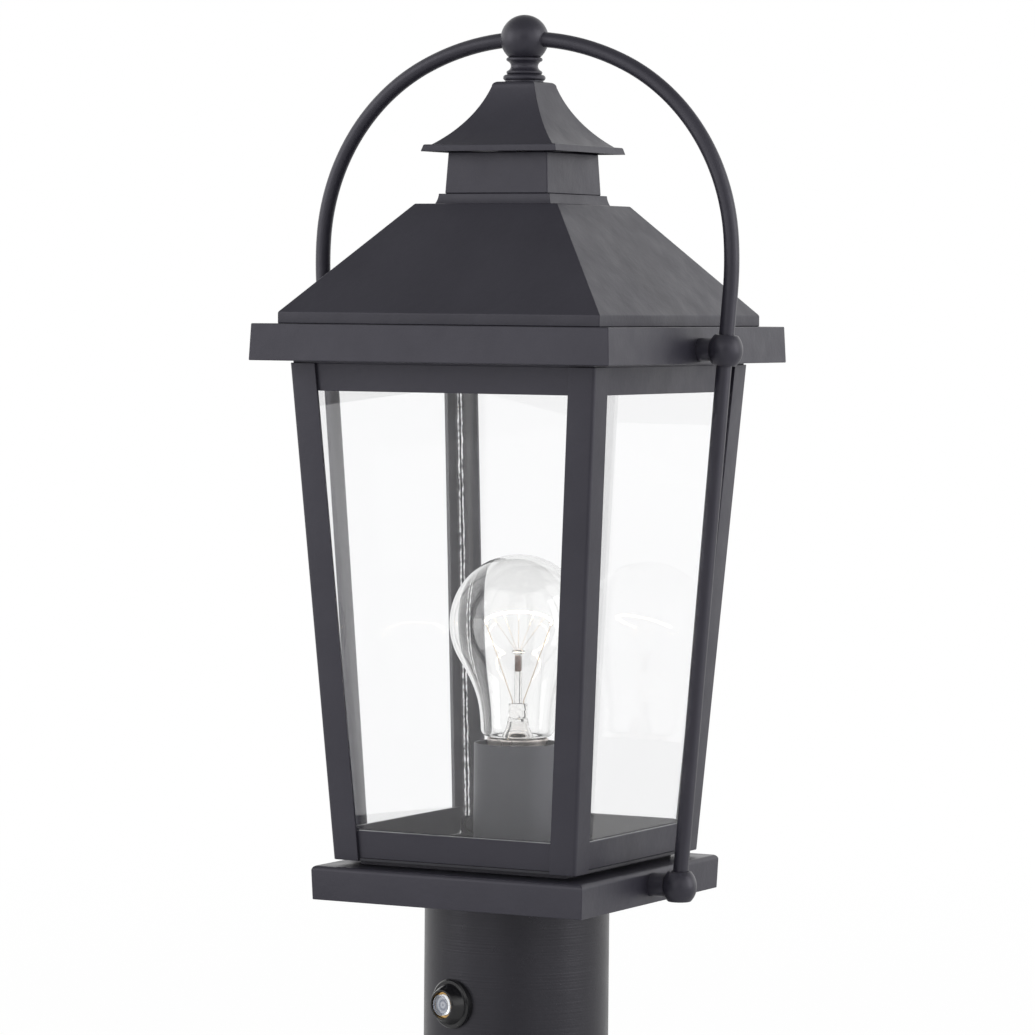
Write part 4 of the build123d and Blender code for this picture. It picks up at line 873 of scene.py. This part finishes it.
# ---- Finial ----
# A turned ball on a ringed neck. It screws down on the roof stud, holds the cap, and takes
# the ends of the bail.
BALL_R = 10.45
foot = low("finial")
ball_z = high("finial") - BALL_R
join_r = 6.6
neck_top = ball_z - math.sqrt(BALL_R**2 - join_r**2)
finial_profile = [(3.0, foot), (8.3, foot)]
finial_profile += through((8.3, foot + 0.6), (9.2, foot + 1.9), (8.4, foot + 3.0), 8)
finial_profile += through((7.3, foot + 3.3), (7.8, foot + 4.1), (7.2, foot + 4.9), 6)
finial_profile += through((7.2, foot + 4.9), (5.9, foot + 6.9), (7.2, foot + 8.9), 8)[1:]
finial_profile += through((7.2, foot + 8.9), (7.9, foot + 9.7), (join_r, neck_top), 6)[1:]
ball_start = -math.degrees(math.acos(join_r / BALL_R))
finial_profile += arc(0, ball_z, BALL_R, ball_start, 89.9, 36)[1:]
finial_profile += [(0.005, ball_z + BALL_R - 1), (3.0, foot)]
finial = soften(ringed("finial_turned", finial_profile, 96), 0)
satin(finial, "roof", "finial")

# ---- Roof stud ----
# A threaded rod from the finial down through cap and cupola. A washer and a nut under the
# hip roof pull them all together.
STUD_R = 3.0
stud_low, stud_high = span("roof_stud")
profile = [(0.01, stud_low), (STUD_R - 0.4, stud_low), *finely(STUD_R, stud_low + 0.4, hip_top, 1.0)]
roof_stud = ringed("roof_stud_threaded", profile + [(STUD_R, stud_high), (0.01, stud_high)], 32)
press_thread(roof_stud, STUD_R, 0.5, 1.0, stud_low, hip_top)
plated(soften(roof_stud, 0), "roof", "roof_stud")
WASHER_R = 12.0
washer = ringed("stud_washer_pressed", flat_ring(STUD_R + 0.1, WASHER_R, *span("stud_washer")), 64)
plated(soften(washer, 0.25, 2), "roof", "stud_washer")
nut_foot, nut_head = span("stud_nut")
stud_nut = hex_nut("stud_nut_chamfered", 10.0, nut_head - nut_foot, STUD_R + 0.02)
place(stud_nut, moved(0, 0, nut_foot))
plated(stud_nut, "roof", "stud_nut")

# ---- Bail arms ----
# One round rod each side, bent in three arcs from the finial's ball over the shoulder and
# down to the ball at the fascia, where it leans inwards by a few degrees.
ROD_R = 3.3
ROD_LEAN = 4.75
ARCS = ((114.0, 0.0, 25.5), (90.0, 25.5, 86.0), (150.0, 86.0, 90.0 + ROD_LEAN))
ARM_START = 2.6
ARM_STEPS = (16, 40, 8)
fascia_ball_z = sum(span("fascia_balls")) / 2
lower_ball_z = sum(span("lower_balls")) / 2


def heading_at(turn):
    """Direction in the bail's plane at a turn in degrees from straight up."""
    return Vector((math.sin(math.radians(turn)), math.cos(math.radians(turn))))


joints = []
tip = Vector((0.0, ball_z))
for radius, start, end in ARCS:
    centre = tip - radius * heading_at(start)
    tip = centre + radius * heading_at(end)
    joints.append((centre, radius, start, end))
straight_from = tip
lean = math.tan(math.radians(ROD_LEAN))


def rod_x(height):
    """Distance of the straight rod's centre line from the axis, in millimetres."""
    return straight_from.x - (straight_from.y - height) * lean


def bail_arm(name):
    """Rod spun round its three arc centres in turn, then run down straight. Without a
    window the spin turns the other way, so its angles are negative."""
    centre, radius, start, end = joints[0]
    begin = math.radians(ARM_START)
    at = centre + radius * heading_at(ARM_START)
    bpy.ops.object.select_all(action="DESELECT")
    bpy.ops.mesh.primitive_circle_add(vertices=32, radius=ROD_R * MM, fill_type="NGON")
    piece = bpy.context.object
    piece.location = (at.x * MM, 0, at.y * MM)
    piece.rotation_euler = (0, math.pi / 2 + begin, 0)
    piece.name = name
    bpy.ops.object.transform_apply()
    edit_all(piece)
    for (centre, radius, start, end), steps in zip(joints, ARM_STEPS):
        angle = math.radians(max(start, ARM_START) - end)
        middle = (centre.x * MM, 0, centre.y * MM)
        bpy.ops.mesh.spin(steps=steps, angle=angle, center=middle, axis=(0, 1, 0))
    drop = fascia_ball_z + 2.0 - straight_from.y
    bpy.ops.mesh.extrude_region_move(TRANSFORM_OT_translate={"value": (drop * lean * MM, 0, drop * MM)})
    bpy.ops.object.mode_set(mode="OBJECT")
    close_up(piece)
    return soften(piece, 0.3, 2, limit=45)


for name, sign in (("right", 1), ("left", -1)):
    arm = bail_arm(f"bail_arm_{name}_bent")
    if sign < 0:
        place(arm, turned(math.pi))
    satin(arm, "roof", f"bail_arm_{name}")

# ---- Side rods ----
# Straight rods in line with the arms, from the fascia balls down into the lower balls,
# where their ends stand free so that the roof can be lifted.
rod_high = fascia_ball_z - 2.0
rod_low = lower_ball_z + 2.2
rod_long = (rod_high - rod_low) / math.cos(math.radians(ROD_LEAN))


def along_rod(sign, height):
    """Matrix at a height on the straight rod's centre line, its +Z up along the rod."""
    return moved(sign * rod_x(height), 0, height) @ turned(sign * math.radians(ROD_LEAN), "Y")


for name, sign in (("right", 1), ("left", -1)):
    rod = ringed(f"side_rod_{name}_cut", plug(ROD_R, 0, rod_long), 32)
    place(soften(rod, 0.3, 2, limit=45), along_rod(sign, rod_low))
    satin(rod, "roof", f"side_rod_{name}")

# ---- Balls on the rods ----
# Four turned balls with small flats above and below. The upper pair is drilled from both
# ends for the rods, and the lower pair only from above, a little wider than the rod.
ROD_BALL_R = 7.55
FLAT = 6.5
FLAT_R = 4.9
HOLE_R = ROD_R + 0.02
TIP_HOLE_R = ROD_R + 0.5


def drilled_ball(hole_r, floor_z, from_below=False):
    """Ball with two flats and a hole from above down to a height over its centre, or one
    such hole from each end."""
    lower_hole = [(0.01, -floor_z), (hole_r, -floor_z), (hole_r, -FLAT)]
    profile = lower_hole if from_below else [(0.01, -FLAT)]
    profile += through((FLAT_R, -FLAT), (ROD_BALL_R, 0), (FLAT_R, FLAT), 24)
    profile += [(hole_r, FLAT), (hole_r, floor_z), (0.01, floor_z)]
    return soften(ringed("ball", profile, 64), 0.22, 2, limit=40)


upper = [place(drilled_ball(HOLE_R, 2.0, True), along_rod(sign, fascia_ball_z)) for sign in (-1, 1)]
satin(joined("fascia_balls_turned", upper), "roof", "fascia_balls")
lower = []
for sign in (-1, 1):
    at = moved(sign * rod_x(lower_ball_z), 0, lower_ball_z)
    lower.append(place(drilled_ball(TIP_HOLE_R, 1.6), at))
satin(joined("lower_balls_turned", lower), "lantern_base", "lower_balls")

# ---- Standoffs ----
# Short round bars from the fascia and from the pan's side out into the balls.
STANDOFF_R = 5.1
SEAT = 1.8
ball_share = (fascia_ball_z - fascia_low) / (fascia_top - fascia_low)
fascia_face = FASCIA_LOW_HALF + (FASCIA_TOP_HALF - FASCIA_LOW_HALF) * ball_share
pan_face = PAN_HALF - PAN_DRAFT * (bend - lower_ball_z) / (bend - pan_low)


def standoffs(name, height, face):
    """A pair of bars, left and right, from a face into the balls at a height."""
    reach = rod_x(height) - ROD_BALL_R + SEAT
    pair = []
    for sign in (-1, 1):
        bar = ringed("bar", plug(STANDOFF_R, face - 0.3, reach), 48)
        outwards = moved(0, 0, height) @ turned(sign * math.pi / 2, "Y")
        pair.append(place(soften(bar, 0.2, 2, limit=45), outwards))
    return joined(name, pair)


upper_bars = standoffs("fascia_standoffs_turned", fascia_ball_z, fascia_face)
satin(upper_bars, "roof", "fascia_standoffs")
lower_bars = standoffs("lower_standoffs_turned", lower_ball_z, pan_face)
satin(lower_bars, "lantern_base", "lower_standoffs")

# ---- Nipple and lock nuts ----
# A hollow threaded tube through pan, plinth, floor and cup. It carries the lampholder and
# takes its wires, and a thin lock nut at each end clamps it.
NIPPLE_R = 4.9
NIPPLE_BORE_R = 3.5
NIPPLE_PITCH = 0.94
nipple_low, nipple_high = span("nipple")
profile = [(NIPPLE_BORE_R, nipple_low), *finely(NIPPLE_R, nipple_low, nipple_high, NIPPLE_PITCH)]
profile += [(NIPPLE_BORE_R, nipple_high), (NIPPLE_BORE_R, nipple_low)]
nipple = ringed("nipple_threaded", profile, 40)
press_thread(nipple, NIPPLE_R, 0.5, NIPPLE_PITCH, nipple_low, nipple_high)
plated(soften(nipple, 0), "lantern_base", "nipple")
LOCK_NUT_HIGH = 3.2
lock_nuts = []
for foot in (low("nipple_nuts"), high("nipple_nuts") - LOCK_NUT_HIGH):
    lock_nut = hex_nut("lock_nut", 14.0, LOCK_NUT_HIGH, NIPPLE_R + 0.02)
    lock_nuts.append(place(lock_nut, moved(0, 0, foot)))
plated(joined("nipple_nuts_chamfered", lock_nuts), "lantern_base", "nipple_nuts")

# ---- Socket cup ----
# A drawn sheet cup that hides the lampholder, in a greyer, smoother coat than the frame.
CUP_R = 19.05
CUP_SHEET = 1.0
cup_low, cup_top = span("socket_cup")
CUP_HOLE_R = 4.95
cup_inside, cup_floor = CUP_R - CUP_SHEET, cup_low + CUP_SHEET
profile = [(CUP_HOLE_R, cup_low), (CUP_R, cup_low), (CUP_R, cup_top), (cup_inside, cup_top)]
profile += [(cup_inside, cup_floor), (CUP_HOLE_R, cup_floor), (CUP_HOLE_R, cup_low)]
socket_cup = ringed("socket_cup_drawn", profile, 96)
cup_grey = powder_coat("cup_grey", (0.060, 0.062, 0.070), (0.070, 0.073, 0.082), 0.42, 0.5, 0.012)
finish_piece(soften(socket_cup, 0.3, 3), "lantern_base", "cup_coat", cup_grey, "socket_cup")

# ---- Lampholder ----
# A dark moulded body, screwed down on the nipple inside the cup. Its bore holds the screw
# shell, and the wires come up through its foot.
holder_low, holder_top = span("lampholder")
shell_low, shell_top = span("screw_shell")
HOLDER_R = 17.0
SHELL_OUT = 13.8
profile = [(NIPPLE_R, holder_low), (HOLDER_R - 2, holder_low), (HOLDER_R, holder_low + 2)]
profile += [(HOLDER_R, holder_top - 1.5), (HOLDER_R - 1, holder_top), (SHELL_OUT + 1, holder_top)]
profile += [(SHELL_OUT, holder_top - 2), (SHELL_OUT, shell_low), (NIPPLE_BORE_R, shell_low)]
profile += [(NIPPLE_BORE_R, nipple_high), (NIPPLE_R, nipple_high), (NIPPLE_R, holder_low)]
lampholder = ringed("lampholder_moulded", profile, 96)
phenolic = skin("dark_phenolic", (0.020, 0.016, 0.013), (0.032, 0.026, 0.021), 0.42, 0.55, 0.05, 0.0005)
finish_piece(soften(lampholder, 0.3, 2), "lantern_base", "phenolic", phenolic, "lampholder")

# ---- Screw shell and centre contact ----
# The holder's two terminals: a shell of thin brass with a thread rolled into it, and a
# brass button in the middle of its foot.
THREAD = 3.629
brass = bare_metal("pressed_brass", (0.60, 0.40, 0.16), (0.78, 0.57, 0.27), 0.25, 0.4)
SHELL_SHEET = 0.4
SHELL_FOOT_R = 8.0
inside, inside_foot = SHELL_OUT - SHELL_SHEET, shell_low + SHELL_SHEET
profile = [(SHELL_FOOT_R, shell_low), *finely(SHELL_OUT, shell_low, shell_top, THREAD / 2)]
profile += finely(inside, shell_top, inside_foot, THREAD / 2)
profile += [(SHELL_FOOT_R, inside_foot), (SHELL_FOOT_R, shell_low)]
screw_shell = ringed("screw_shell_rolled", profile, 64)
press_thread(screw_shell, SHELL_OUT, 0.28, THREAD, shell_low + 1.5, shell_top, SHELL_SHEET)
finish_piece(soften(screw_shell, 0), "lantern_base", "shell_brass", brass, "screw_shell")
contact_top = high("centre_contact")
profile = [(0.01, shell_low), (5.5, shell_low), (5.5, shell_low + 0.8), (3.2, shell_low + 0.8)]
profile += [*arc(2.4, contact_top - 0.8, 0.8, 0, 90, 5), (0.01, contact_top)]
contact = ringed("centre_contact_pressed", profile, 48)
finish_piece(soften(contact, 0.15, 2), "lantern_base", "shell_brass", brass, "centre_contact")

# ---- Bulb cap ----
# The bulb's screw cap: bright aluminium sheet with a rolled thread and a flared rim, closed
# below by an insulator of black glass with a dome of solder in its middle.
CAP_R = 13.05
CAP_SHEET = 0.5
rim_z, cap_foot = high("bulb_base"), low("bulb_base")
CAP_RIM_R = CAP_R + 0.25
profile = [(CAP_R - CAP_SHEET, rim_z), (CAP_RIM_R, rim_z), (CAP_RIM_R, rim_z - 0.8)]
profile += finely(CAP_R, rim_z - 1.8, cap_foot + 1.8, THREAD / 2)
profile += [(CAP_R - 1.8, cap_foot), (CAP_R - 2.2, cap_foot + 0.4)]
profile += finely(CAP_R - CAP_SHEET, cap_foot + 2.1, rim_z, THREAD / 2)
screw_cap = ringed("bulb_cap_rolled", profile, 96)
press_thread(screw_cap, CAP_R, 0.7, THREAD, cap_foot + 2.2, rim_z - 5.0, CAP_SHEET)
aluminium = bare_metal("cap_aluminium", (0.66, 0.60, 0.56), (0.82, 0.78, 0.75), 0.22, 0.34)
finish_piece(soften(screw_cap, 0, limit=50), "bulb", "cap_aluminium", aluminium, "bulb_base")
solder_low, solder_top = span("bulb_contact")
SOLDER_R = 4.8
profile = [(0.01, solder_top), (SOLDER_R, solder_top), (CAP_R - 1.8, cap_foot)]
profile += [(CAP_R - 2.2, cap_foot + 0.4), (0.01, cap_foot + 0.4)]
insulator = ringed("bulb_insulator_cast", profile, 64)
black_glass = skin("black_glass", (0.008, 0.008, 0.010), (0.014, 0.013, 0.016), 0.05, 0.15, 0.04, 0.002)
finish_piece(soften(insulator, 0.15, 2), "bulb", "black_glass", black_glass, "bulb_insulator")
profile = [(0.01, solder_low), *arc(SOLDER_R - 0.7, solder_low + 0.7, 0.7, -90, 0, 5)]
solder_dome = ringed("bulb_contact_soldered", profile + [(SOLDER_R, solder_top), (0.01, solder_top)], 48)
solder = bare_metal("dull_solder", (0.42, 0.42, 0.43), (0.60, 0.60, 0.61), 0.4, 0.6, 0.3, 0.0008)
finish_piece(soften(solder_dome, 0), "bulb", "solder", solder, "bulb_contact")

# ---- Bulb envelope ----
# Blown clear glass, 60 mm across and 0.7 mm thick: a ball that narrows through a hollow
# curve to the neck, which is cemented into the cap.
BULB_R = 30.15
BULB_WALL = 0.7
JOIN = 31.0
NECK_R = 16.2
SEAL_R = 12.5
# The photograph shows the bulb's top higher than the CAD has it.
BULB_TALLER = 2.3
NECK_DROP = 45.9
bulb_centre = high("bulb_glass") + BULB_TALLER - BULB_R
neck_z = bulb_centre - NECK_DROP
seal_z = low("bulb_glass")


def hollow_curve(wall):
    """The neck from the ball down: a smooth curve through its narrowing."""
    radius = BULB_R - wall
    turn = math.radians(JOIN)
    top = Vector((radius * math.cos(turn), bulb_centre - radius * math.sin(turn)))
    foot = Vector((NECK_R - wall, neck_z))
    pull_top = top - Vector((math.sin(turn), math.cos(turn))) * 15.5
    pull_foot = foot + Vector((0.04, 1.0)) * 11.0
    points = []
    for t in [k / 18 for k in range(1, 19)]:
        s = 1 - t
        point = top * s**3 + pull_top * 3 * t * s * s + pull_foot * 3 * t * t * s + foot * t**3
        points.append((point.x, point.y))
    return points


def envelope(wall):
    """Profile of the bulb from its top down to the seal, set in by the wall."""
    profile = arc(0, bulb_centre, BULB_R - wall, 89.9, -JOIN, 44) + hollow_curve(wall)
    neck, narrowing = (NECK_R - wall, neck_z), (NECK_R - 1 - wall, neck_z - 2.4)
    profile += through(neck, narrowing, (SEAL_R + 0.6 - wall, rim_z + 0.8), 8)[1:]
    return profile + [(SEAL_R - wall, rim_z), (SEAL_R - wall, seal_z)]


bulb_profile = envelope(0) + envelope(BULB_WALL)[::-1]
bulb = soften(ringed("bulb_envelope_blown", bulb_profile, 192), 0, limit=45)
bulb_glass = clear_glass("bulb_clear", (0.99, 0.99, 0.985))
finish_piece(bulb, "bulb", "bulb_clear", bulb_glass, "bulb_glass")

# ---- Bulb stem ----
# The glass inside the bulb: a flared tube sealed to the neck, pinched flat while hot round
# the two lead wires, and a thin glass rod above the pinch with a button on its end.
STEM_R = 4.6
FLARE_R = SEAL_R - BULB_WALL
BULB_TURN = math.radians(28.0)
PRESS_DROP = 41.6
PRESS_HIGH = 6.9
BUTTON_DROP = 2.7
press_low = bulb_centre - PRESS_DROP
press_top = press_low + PRESS_HIGH
button_z = high("bulb_stem") - BUTTON_DROP
PINCH_WIDE = 4.1
PINCH_DEEP = 1.8
outside = through((FLARE_R, seal_z + 1), (6.6, seal_z + 5.2), (STEM_R, press_low - 2), 14)
profile = [(FLARE_R, seal_z), *outside, (STEM_R - 0.3, press_low), (0.01, press_low)]
profile += [(0.01, press_low - 1.2), (STEM_R - 0.8, press_low - 1.2)]
profile += through((STEM_R - 0.8, press_low - 2), (5.8, seal_z + 4.6), (FLARE_R - 0.8, seal_z), 12)
flare_tube = soften(ringed("flare_tube", profile + profile[:1], 64), 0, limit=50)
rise = (press_top - press_low - 0.6) / 20
profile = [(PINCH_WIDE, press_low + 0.3 + rise * k) for k in range(21)]
pinch = ringed("pinch", [(0.01, press_low), *profile, (0.01, press_top)], 48)
for point in pinch.data.vertices:
    x, y, z = point.co / MM
    away = math.hypot(x, y)
    if away < 1:
        continue
    c, s = x / away, y / away
    oval = (abs(c / PINCH_WIDE) ** 3 + abs(s / PINCH_DEEP) ** 3) ** (-1 / 3)
    crease = 0.28 * noise.noise((x * 0.9, y * 0.9, z * 0.8)) + 0.16 * math.sin(z * 2.1 + x)
    reach = (oval + min(0.0, crease)) * away / PINCH_WIDE * MM
    point.co.x, point.co.y = c * reach, s * reach
place(soften(pinch, 0, limit=60), turned(BULB_TURN))
profile = [(0.01, press_top + 0.01), (1.9, press_top + 0.01), (1.6, press_top + 1.2), (1.6, button_z - 0.2)]
profile += through((2.0, button_z), (2.8, button_z + 0.9), (2.0, button_z + 1.8), 8)
glass_rod = soften(ringed("glass_rod", profile + [(0.01, button_z + 1.8)], 48), 0, limit=50)
stem = joined("bulb_stem_drawn", [flare_tube, pinch, glass_rod])
stem_glass = clear_glass("stem_glass", (0.995, 0.985, 0.975), 0.02)
finish_piece(stem, "bulb", "bulb_clear", stem_glass, "bulb_stem")
profile = [(0.01, 0), (0.9, 0.1), (1.2, 0.6), (1.2, 6.4), (0.9, 6.9), (0.01, 7.0)]
getter = ringed("bulb_getter_fired", profile, 32)
place(getter, turned(BULB_TURN) @ moved(-0.3, 0, button_z - 7.6))
getter_brown = skin("getter_brown", (0.26, 0.17, 0.14), (0.38, 0.27, 0.23), 0.5, 0.7, 0.2, 0.0006)
finish_piece(soften(getter, 0), "bulb", "nickel_wire", getter_brown)

# ---- Filament ----
# A long fine coil of tungsten wire, hung in a tilted open ring. It is lit, and white hot.
FILAMENT_R = 14.2
FILAMENT_TILT = math.radians(14.0)
FILAMENT_ENDS = (-12.0, 192.0)
COIL_R = 0.5
FINE_R = 0.13
FILAMENT_RISE = 0.7
filament_z = bulb_centre + FILAMENT_RISE
bulb_frame = turned(BULB_TURN)
ring_frame = Matrix.Translation((0, 0, filament_z)) @ bulb_frame @ turned(FILAMENT_TILT, "X")


def on_ring(angle, out=0.0, up=0.0):
    """Point on the filament's ring, moved outwards and up from it, in millimetres."""
    c, s = math.cos(math.radians(angle)), math.sin(math.radians(angle))
    return ring_frame @ Vector(((FILAMENT_R + out) * c, (FILAMENT_R + out) * s, up))


def looped(angle, radius, roll):
    """Point of a loop round the filament's own line, by its angle on the ring."""
    return on_ring(angle, radius * math.cos(roll), radius * math.sin(roll))


def drawn_wire(points, radius, corners=2):
    """Round wire along points in millimetres, as a closed mesh."""
    path = bpy.data.curves.new("wire", "CURVE")
    path.dimensions = "3D"
    run = path.splines.new("POLY")
    run.points.add(len(points) - 1)
    for knot, point in zip(run.points, points):
        knot.co = (*(Vector(point) * MM), 1)
    path.bevel_depth = radius * MM
    path.bevel_resolution = corners
    path.use_fill_caps = True
    wire = bpy.data.objects.new("wire", path)
    bpy.context.collection.objects.link(wire)
    pick(wire)
    bpy.ops.object.convert(target="MESH")
    wire = bpy.context.object
    close_up(wire, 0.000001)
    return soften(wire, 0, limit=60)


TURNS = 110
coil = []
for k in range(TURNS * 10 + 1):
    share = k / (TURNS * 10)
    roll = 2 * math.pi * TURNS * share
    along = FILAMENT_ENDS[0] + (FILAMENT_ENDS[1] - FILAMENT_ENDS[0]) * share
    coil.append(looped(along, COIL_R - FINE_R, roll))
filament = drawn_wire(coil, FINE_R, 1)
filament.name = "bulb_filament_coiled"
white_hot, tree, shader = new_material("white_hot_tungsten")
glow = tinted(tree, grainy(tree, 0.006, 0, 1), (1.0, 0.80, 0.52), (1.0, 0.88, 0.66))
feed(tree, shader, {"Base Color": (0.5, 0.48, 0.45, 1), "Metallic": 1.0})
feed(tree, shader, {"Roughness": grainy(tree, 0.004, 0.4, 0.6)})
feed(tree, shader, {"Emission Color": glow, "Emission Strength": 14.0})
finish_piece(filament, "bulb", "tungsten", white_hot, "bulb_filament")

# ---- Lead and support wires ----
# Two nickel leads come up out of the pinch and are clenched round the filament's ends, and
# finer wires fan out from the glass button, each with an eye that the coil hangs in.
nickel = bare_metal("drawn_nickel", (0.74, 0.62, 0.52), (0.88, 0.78, 0.68), 0.3, 0.45)
HOOK_R = 0.72
LOOP_R = 0.66
lead_wires = []
for sign, angle in zip((1, -1), FILAMENT_ENDS):
    foot_point = bulb_frame @ Vector((sign * 2.4, 0, press_top - 0.4))
    bend_point = bulb_frame @ Vector((sign * 2.5, 0, press_top + 1.2))
    hook = [looped(angle, HOOK_R, roll) for roll in (-1.6, -0.8, 0.0, 0.8, 1.6, 2.4, 3.1)]
    lead_wires.append(drawn_wire([foot_point, bend_point, *hook], 0.25))
for angle in (35.0, 62.0, 90.0, 118.0, 145.0):
    reach = on_ring(angle)
    outwards = Vector((reach.x, reach.y, 0)).normalized()
    start_point = outwards * 1.5 + Vector((0, 0, button_z + 1.2))
    knee = outwards * 2.2 + Vector((0, 0, button_z + 2.4))
    loop = [looped(angle, LOOP_R, roll) for roll in (-2.2, -1.4, -0.6, 0.2, 1.0, 1.8, 2.6, 3.4)]
    lead_wires.append(drawn_wire([start_point, knee, *loop], 0.09, 1))
finish_piece(joined("bulb_wires_bent", lead_wires), "bulb", "nickel_wire", nickel, "bulb_wires")

# ---- Photocell ----
# It turns the lantern on at dusk: a moulded black barrel with a flange that is shaped to
# the tube and a cone in front, a gilt ring, a clear lens and the pale light cell behind it.
CELL_OUT = facing(CELL_TURN, CELL_HEIGHT)
LENS_R = 4.55
RING_R = 5.75
RING_DEEP = 2.3
BARREL_R = 8.0
BARREL_PITCH = 1.5
nose = TUBE_R + 6.8
pocket = TUBE_R + 3.0
CELL_FLANGE_R = 10.7
profile = [(0.01, TUBE_R - 1.7), (CELL_FLANGE_R, TUBE_R - 1.7), (CELL_FLANGE_R, TUBE_R + 1.4)]
profile += [(CELL_FLANGE_R - 0.7, TUBE_R + 2.0), (8.9, TUBE_R + 2.0), (6.9, nose - 0.4), (6.5, nose)]
cone = ringed("cone", profile + [(RING_R, nose), (RING_R, pocket), (0.01, pocket)], 96)
place(cone, CELL_OUT)
tube_form = ringed("tube_form", plug(TUBE_R, 60, 110))
soften(cut(cone, tube_form), 0.12, 2)
profile = [(0.01, TUBE_R - 14), (BARREL_R - 0.4, TUBE_R - 14)]
profile += finely(BARREL_R, TUBE_R - 13.6, TUBE_R + 0.5, BARREL_PITCH)
barrel = ringed("barrel", profile + [(0.01, TUBE_R + 0.5)], 64)
press_thread(barrel, BARREL_R, 0.7, BARREL_PITCH, TUBE_R - 13.8, TUBE_R - 3.2)
place(soften(barrel, 0), CELL_OUT)
cell_black = skin("cell_black", (0.008, 0.008, 0.009), (0.013, 0.013, 0.015), 0.16, 0.26, 0.03, 0.0008)
cell_body = joined("photocell_body_moulded", [cone, barrel])
finish_piece(cell_body, "lantern_base", "photocell_black", cell_black, "photocell_body")
gilt_ring = ringed("photocell_ring_gilt", flat_ring(LENS_R, RING_R, pocket, pocket + RING_DEEP), 96)
gilt = bare_metal("gilt", (0.60, 0.36, 0.12), (0.80, 0.56, 0.26), 0.2, 0.35)
place(soften(gilt_ring, 0.25, 2), CELL_OUT)
finish_piece(gilt_ring, "lantern_base", "photocell_gilt", gilt, "photocell_ring")
lens_out = LENS_R - 0.02
profile = [(0.01, pocket + 1.45), (lens_out, pocket + 1.45)]
profile += arc(lens_out - 0.6, pocket + 4.1, 0.6, 0, 90, 5)
lens = ringed("photocell_lens_moulded", profile + [(2.4, pocket + 4.66), (0.01, pocket + 4.7)], 96)
lens_clear = clear_glass("lens_clear", (0.93, 0.95, 0.98), 0.09)
place(soften(lens, 0, limit=50), CELL_OUT)
finish_piece(lens, "lantern_base", "photocell_clear", lens_clear, "photocell_lens")
profile = [(0.01, pocket + 0.02), (lens_out, pocket + 0.02), (lens_out, pocket + 1.3)]
cell_disc = ringed("photocell_cell_disc", profile + [(LENS_R - 0.5, pocket + 1.4), (0.01, pocket + 1.4)], 64)
place(soften(cell_disc, 0), CELL_OUT)
pale_cell = skin("pale_cell", (0.34, 0.37, 0.44), (0.46, 0.49, 0.55), 0.3, 0.45, 0.05, 0.0006)
# The cell's face has fine rings of two tones round its middle.
tree = pale_cell.node_tree
out = CELL_OUT.to_3x3() @ Vector((0, 0, 1))
middle = -(out * (pocket + 1.4) * MM + Vector((0, 0, CELL_HEIGHT * MM)))
where = node(tree, "TexCoord").outputs["Object"]
centred = node(tree, "Mapping", {"Vector": where, "Location": middle}, vector_type="POINT").outputs[0]
rings = {"wave_type": "RINGS", "rings_direction": "SPHERICAL"}
tracks = node(tree, "TexWave", {"Scale": 160, "Vector": centred}, **rings).outputs["Fac"]
dress(pale_cell, {"Base Color": tinted(tree, tracks, (0.20, 0.22, 0.28), (0.60, 0.60, 0.62))})
finish_piece(cell_disc, "lantern_base", "photocell_disc", pale_cell, "photocell_cell")
CELL_NUT_WIDE = 18.0
CELL_NUT_HIGH = 4.0
nut_in = math.sqrt(UPPER_BORE_R**2 - (CELL_NUT_WIDE / math.sqrt(3)) ** 2) - 0.02 - CELL_NUT_HIGH
cell_nut = hex_nut("photocell_nut_moulded", CELL_NUT_WIDE, CELL_NUT_HIGH, BARREL_R + 0.02)
place(cell_nut, facing(CELL_TURN, CELL_HEIGHT, nut_in) @ turned(math.pi / 2))
finish_piece(cell_nut, "lantern_base", "photocell_black", cell_black, "photocell_nut")

# ---- Wiring ----
# The leads of lampholder and photocell, black on one side and white on the other, meet in
# two ribbed twist-on connectors inside the tube.
vinyl = skin("vinyl_cover", (0.012, 0.012, 0.012), (0.02, 0.02, 0.02), 0.3, 0.4, 0.05, 0.001)
tree = vinyl.node_tree
side = node(tree, "SeparateXYZ", {0: node(tree, "TexCoord").outputs["Object"]}).outputs["X"]
white_side = node(tree, "Math", {0: side, 1: 0.0}, operation="GREATER_THAN").outputs[0]
dress(vinyl, {"Base Color": tinted(tree, white_side, (0.015, 0.015, 0.016), (0.66, 0.65, 0.62))})
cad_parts["wires"].data.materials.clear()
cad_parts["wires"].data.materials.append(vinyl)
MOUTH_R = 2.6
MOUTH_DEEP = 7.0
CONNECTOR_R = 4.5
connector_low, connector_top = span("wire_connectors")
mouth = connector_top - MOUTH_DEEP
connectors = []
for x, y in ((-13.0, 9.0), (13.0, 11.0)):
    profile = [(0.01, mouth), (MOUTH_R, mouth), (MOUTH_R, connector_top)]
    profile += [(CONNECTOR_R, connector_top), (CONNECTOR_R, connector_top - 1.5)]
    profile += [(4.4 - 1.35 * k / 6, connector_top - 2.0 - 13.0 * k / 6) for k in range(7)]
    shell = ringed("connector", profile + [(2.2, connector_low + 0.4), (0.01, connector_low)], 96)
    for point in shell.data.vertices:
        if 2.7 < math.hypot(point.co.x, point.co.y) / MM < 4.45:
            rib = 1 - 0.07 * (1 + math.cos(12 * math.atan2(point.co.y, point.co.x))) / 2
            shift_out(point, rib)
    connectors.append(place(soften(shell, 0, limit=50), moved(x, y, 0)))
connector_orange = skin("connector_orange", (0.66, 0.24, 0.05), (0.78, 0.33, 0.08), 0.28, 0.4, 0.04, 0.001)
pair = joined("wire_connectors_ribbed", connectors)
finish_piece(pair, "lantern_base", "connector_plastic", connector_orange, "wire_connectors")
